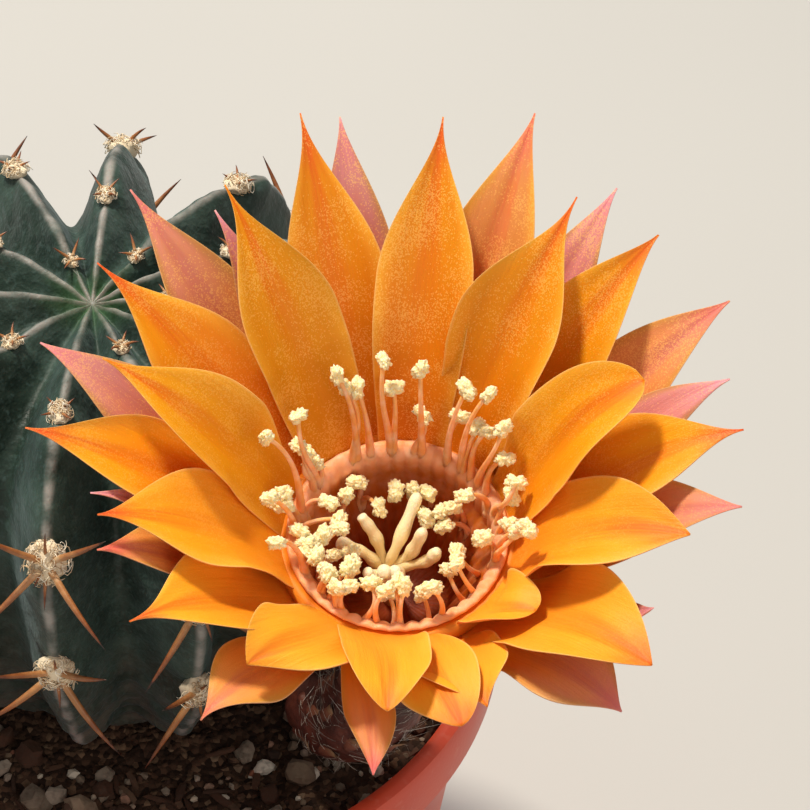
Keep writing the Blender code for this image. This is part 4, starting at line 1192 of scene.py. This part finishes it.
def make_tepals(name, tepals, inside, top, material, node, slot):
    """A ring that the tepals grow from, and the tepals."""
    build = Build(*TEPAL_VALUES)
    outside, bottom = inside + 1.5 * MM, TUBE_TOP + 0.3 * MM
    profile = ((outside, bottom), (outside, top), (inside, top), (inside, bottom))
    rings = in_flower(turned(profile, RING_COLUMNS))
    grid = np.arange(len(profile) * RING_COLUMNS).reshape(-1, RING_COLUMNS)
    build.add((rings.reshape(-1, 3), [band(np.vstack((grid, grid[:1])))]))
    for index, tepal in enumerate(tepals):
        shape, values = tepal_shape(tepal, index)
        build.add(shape, **values)
    build.piece(name, material, node, slot)


def make_stamens():
    """The fused filaments that line the throat, their free parts, and the anthers."""
    rng = np.random.default_rng(12)
    outside = THROAT_RADIUS - 0.3 * MM
    lined = np.linspace(0.7 * CUP_BOTTOM, TUBE_TOP, 26)
    inner = [(cup_radius(h) - 0.3 * MM - LINING, h) for h in lined]
    inner += [(outside - 1.35 * LINING, h * MM) for h in np.linspace(-4.6, -1.4, 10)]
    inner += [(outside + share * LINING, h * MM) for share, h in LINING_LIP]
    outer = [(outside + 0.6 * LINING, 0.2 * MM), (outside, -0.4 * MM), (outside, -4.9 * MM)]
    outer += [(cup_radius(h) - 0.3 * MM, h) for h in lined[::-1] - 0.1 * MM]
    profile = np.array(inner + outer)
    columns = RIDGES * 9
    rings = turned(profile, columns)
    ridge = np.abs(np.cos(0.5 * RIDGES * full_turn(columns))) ** 0.8
    width = np.linspace(0.3, 0.34, len(inner))[:, None] * MM * ridge
    shrink = 1 - width / profile[: len(inner), :1]
    rings[: len(inner), :, :2] *= shrink[..., None]
    rings[len(inner) - 4 : len(inner) + 1, :, 2] += 0.2 * MM * (ridge - 0.4)
    # Painted shade: the lining's colour darkens further down the throat
    depth = np.interp(profile[:, 1] / MM, *np.transpose(LINING_COLOURS))
    build = Build("depth")
    build.add(skin(in_flower(rings)), depth=np.append(np.repeat(depth, columns), (0, 0)))
    anthers = Build()
    points, faces = ball(4)
    t = np.linspace(0, 1, 16)
    thick = (0.27 + 0.4 * (1 - t) ** 2.4) * MM
    waist = 1 - 0.22 * np.exp(-((points[:, 0] / 0.3) ** 2))
    for places, radius, height, start, inward in STAMEN_GROUPS:
        for azimuth, reach, rise in places:
            root = around_axis(azimuth + rng.uniform(-4, 4), radius, height)
            tip = around_axis(azimuth, reach, rise)
            sway = around_axis(azimuth + 90, rng.normal(0, 1.1), 0)
            sway += (0, 0, rng.uniform(-0.4, 0.6) * MM)
            lean = np.array((0, 0, 1.0)) + around_axis(azimuth, inward, 0) / MM
            middle = root + lean * 0.6 * np.linalg.norm(tip - root)
            u = t[:, None]
            path = (1 - u) ** 2 * root + 2 * u * (1 - u) * middle + u * u * tip
            path += np.sin(np.pi * u) * sway * u
            build.add_rod(in_flower(path), thick, 8, depth=start + (1 - start) * t**0.6)
            shape = points * np.array((1.2, 0.95, 0.85)) * ANTHER_RADIUS * rng.uniform(0.85, 1.12)
            crumbs = 0.4 * noise_at(points, 0.55, azimuth + rise)
            crumbs += 0.34 * noise_at(points, 0.24, reach) + rng.uniform(-0.06, 0.1, len(points))
            shape *= (waist * (1 + crumbs))[:, None]
            turn = rng.uniform(0, 6)
            spin = turn_about(Vector(rng.normal(0, 1, 3)), turn)
            anthers.add((in_flower(tip + shape @ spin.T), [faces]))
    build.piece("filaments", filament_finish(), "stamens", "stamen")
    anthers.piece("anthers", pollen_finish(), "stamens", "stamen")


def make_style():
    """The style down the middle of the throat, and the lobes of its stigma."""
    build = Build("depth")
    t = np.linspace(0, 1, 24)
    foot, base = np.array((0, 0, CUP_BOTTOM + 0.3 * MM)), around_axis(*STIGMA_SPOT)
    column = foot + t[:, None] * (base + (0, 0, 1.2 * MM) - foot)
    thick = STYLE_RADIUS * (1 + 0.25 * np.exp(-8 * t) + 0.35 * t**6)
    build.add_rod(in_flower(column), thick, 16, depth=0.35 * t)
    s = np.linspace(0, 1, 26)
    round_end = np.sqrt(np.clip(1 - ((s - 0.9) / 0.1).clip(0, 1) ** 2, 0.02, 1))
    for middle, tip in LOBES:
        path = smooth_at(np.stack((base, around_axis(*middle), around_axis(*tip))), 2 * s)
        knobs = 0.09 * np.sin(11 * s + middle[0]) + 0.08 * np.sin(23 * s + tip[0])
        thick = (0.68 + 0.14 * s + knobs) * MM * round_end
        build.add_rod(in_flower(path), thick, 14, depth=0.35 + 0.65 * s)
    build.piece("style_and_stigma", stigma_finish(), "style", "stigma")


# Studio


def make_studio():
    bm = bmesh.new()
    bmesh.ops.create_grid(bm, x_segments=2, y_segments=2, size=3)
    mesh = bpy.data.meshes.new("studio_floor")
    bm.to_mesh(mesh)
    bm.free()
    mesh.materials.append(floor_finish())
    put("studio_floor", mesh)
    world = bpy.data.worlds.new("studio")
    world.use_nodes = True
    world.node_tree.nodes["Background"].inputs["Color"].default_value = linear("#F6F3EE")
    world.node_tree.nodes["Background"].inputs["Strength"].default_value = 0.45
    scene = bpy.context.scene
    scene.world = world
    scene.view_settings.view_transform = "Standard"
    for name, place, size, power, code in LIGHTS:
        lamp = bpy.data.lights.new(name, "AREA")
        lamp.shape = "DISK"
        lamp.size = size
        lamp.energy = power
        lamp.color = linear(code)[:3]
        held = put(name, lamp)
        held.location = place
        held.rotation_euler = (LIT_SPOT - Vector(place)).to_track_quat("-Z", "Y").to_euler()
    view = bpy.data.cameras.new("camera")
    view.lens = 160
    view.sensor_width = 36
    view.clip_start = 0.01
    scene.camera = put("camera", view)
    scene.camera.location = (0.0368, -0.334, 0.4556)
    scene.camera.rotation_euler = (math.radians(45), 0, 0)


make_pot()
make_soil()
make_stem()
make_areoles()
make_floral_tube()
make_tepals(
    "outer_tepal_ring", OUTER_TEPALS, THROAT_RADIUS + 1.8 * MM, -3.3 * MM,
    tepal_finish("satiny_outer_tepal", "#BE5238", "#BE8E34", "#D8826A", 0.42),
    "outer_tepals", "outer_tepal",
)
make_tepals(
    "inner_tepal_rings", INNER_TEPALS, THROAT_RADIUS, -0.2 * MM,
    tepal_finish("satiny_inner_tepal", "#D65F0C", "#F2AC34", "#EE9A50", 0.3),
    "inner_tepals", "inner_tepal",
)
make_stamens()
make_style()
make_studio()
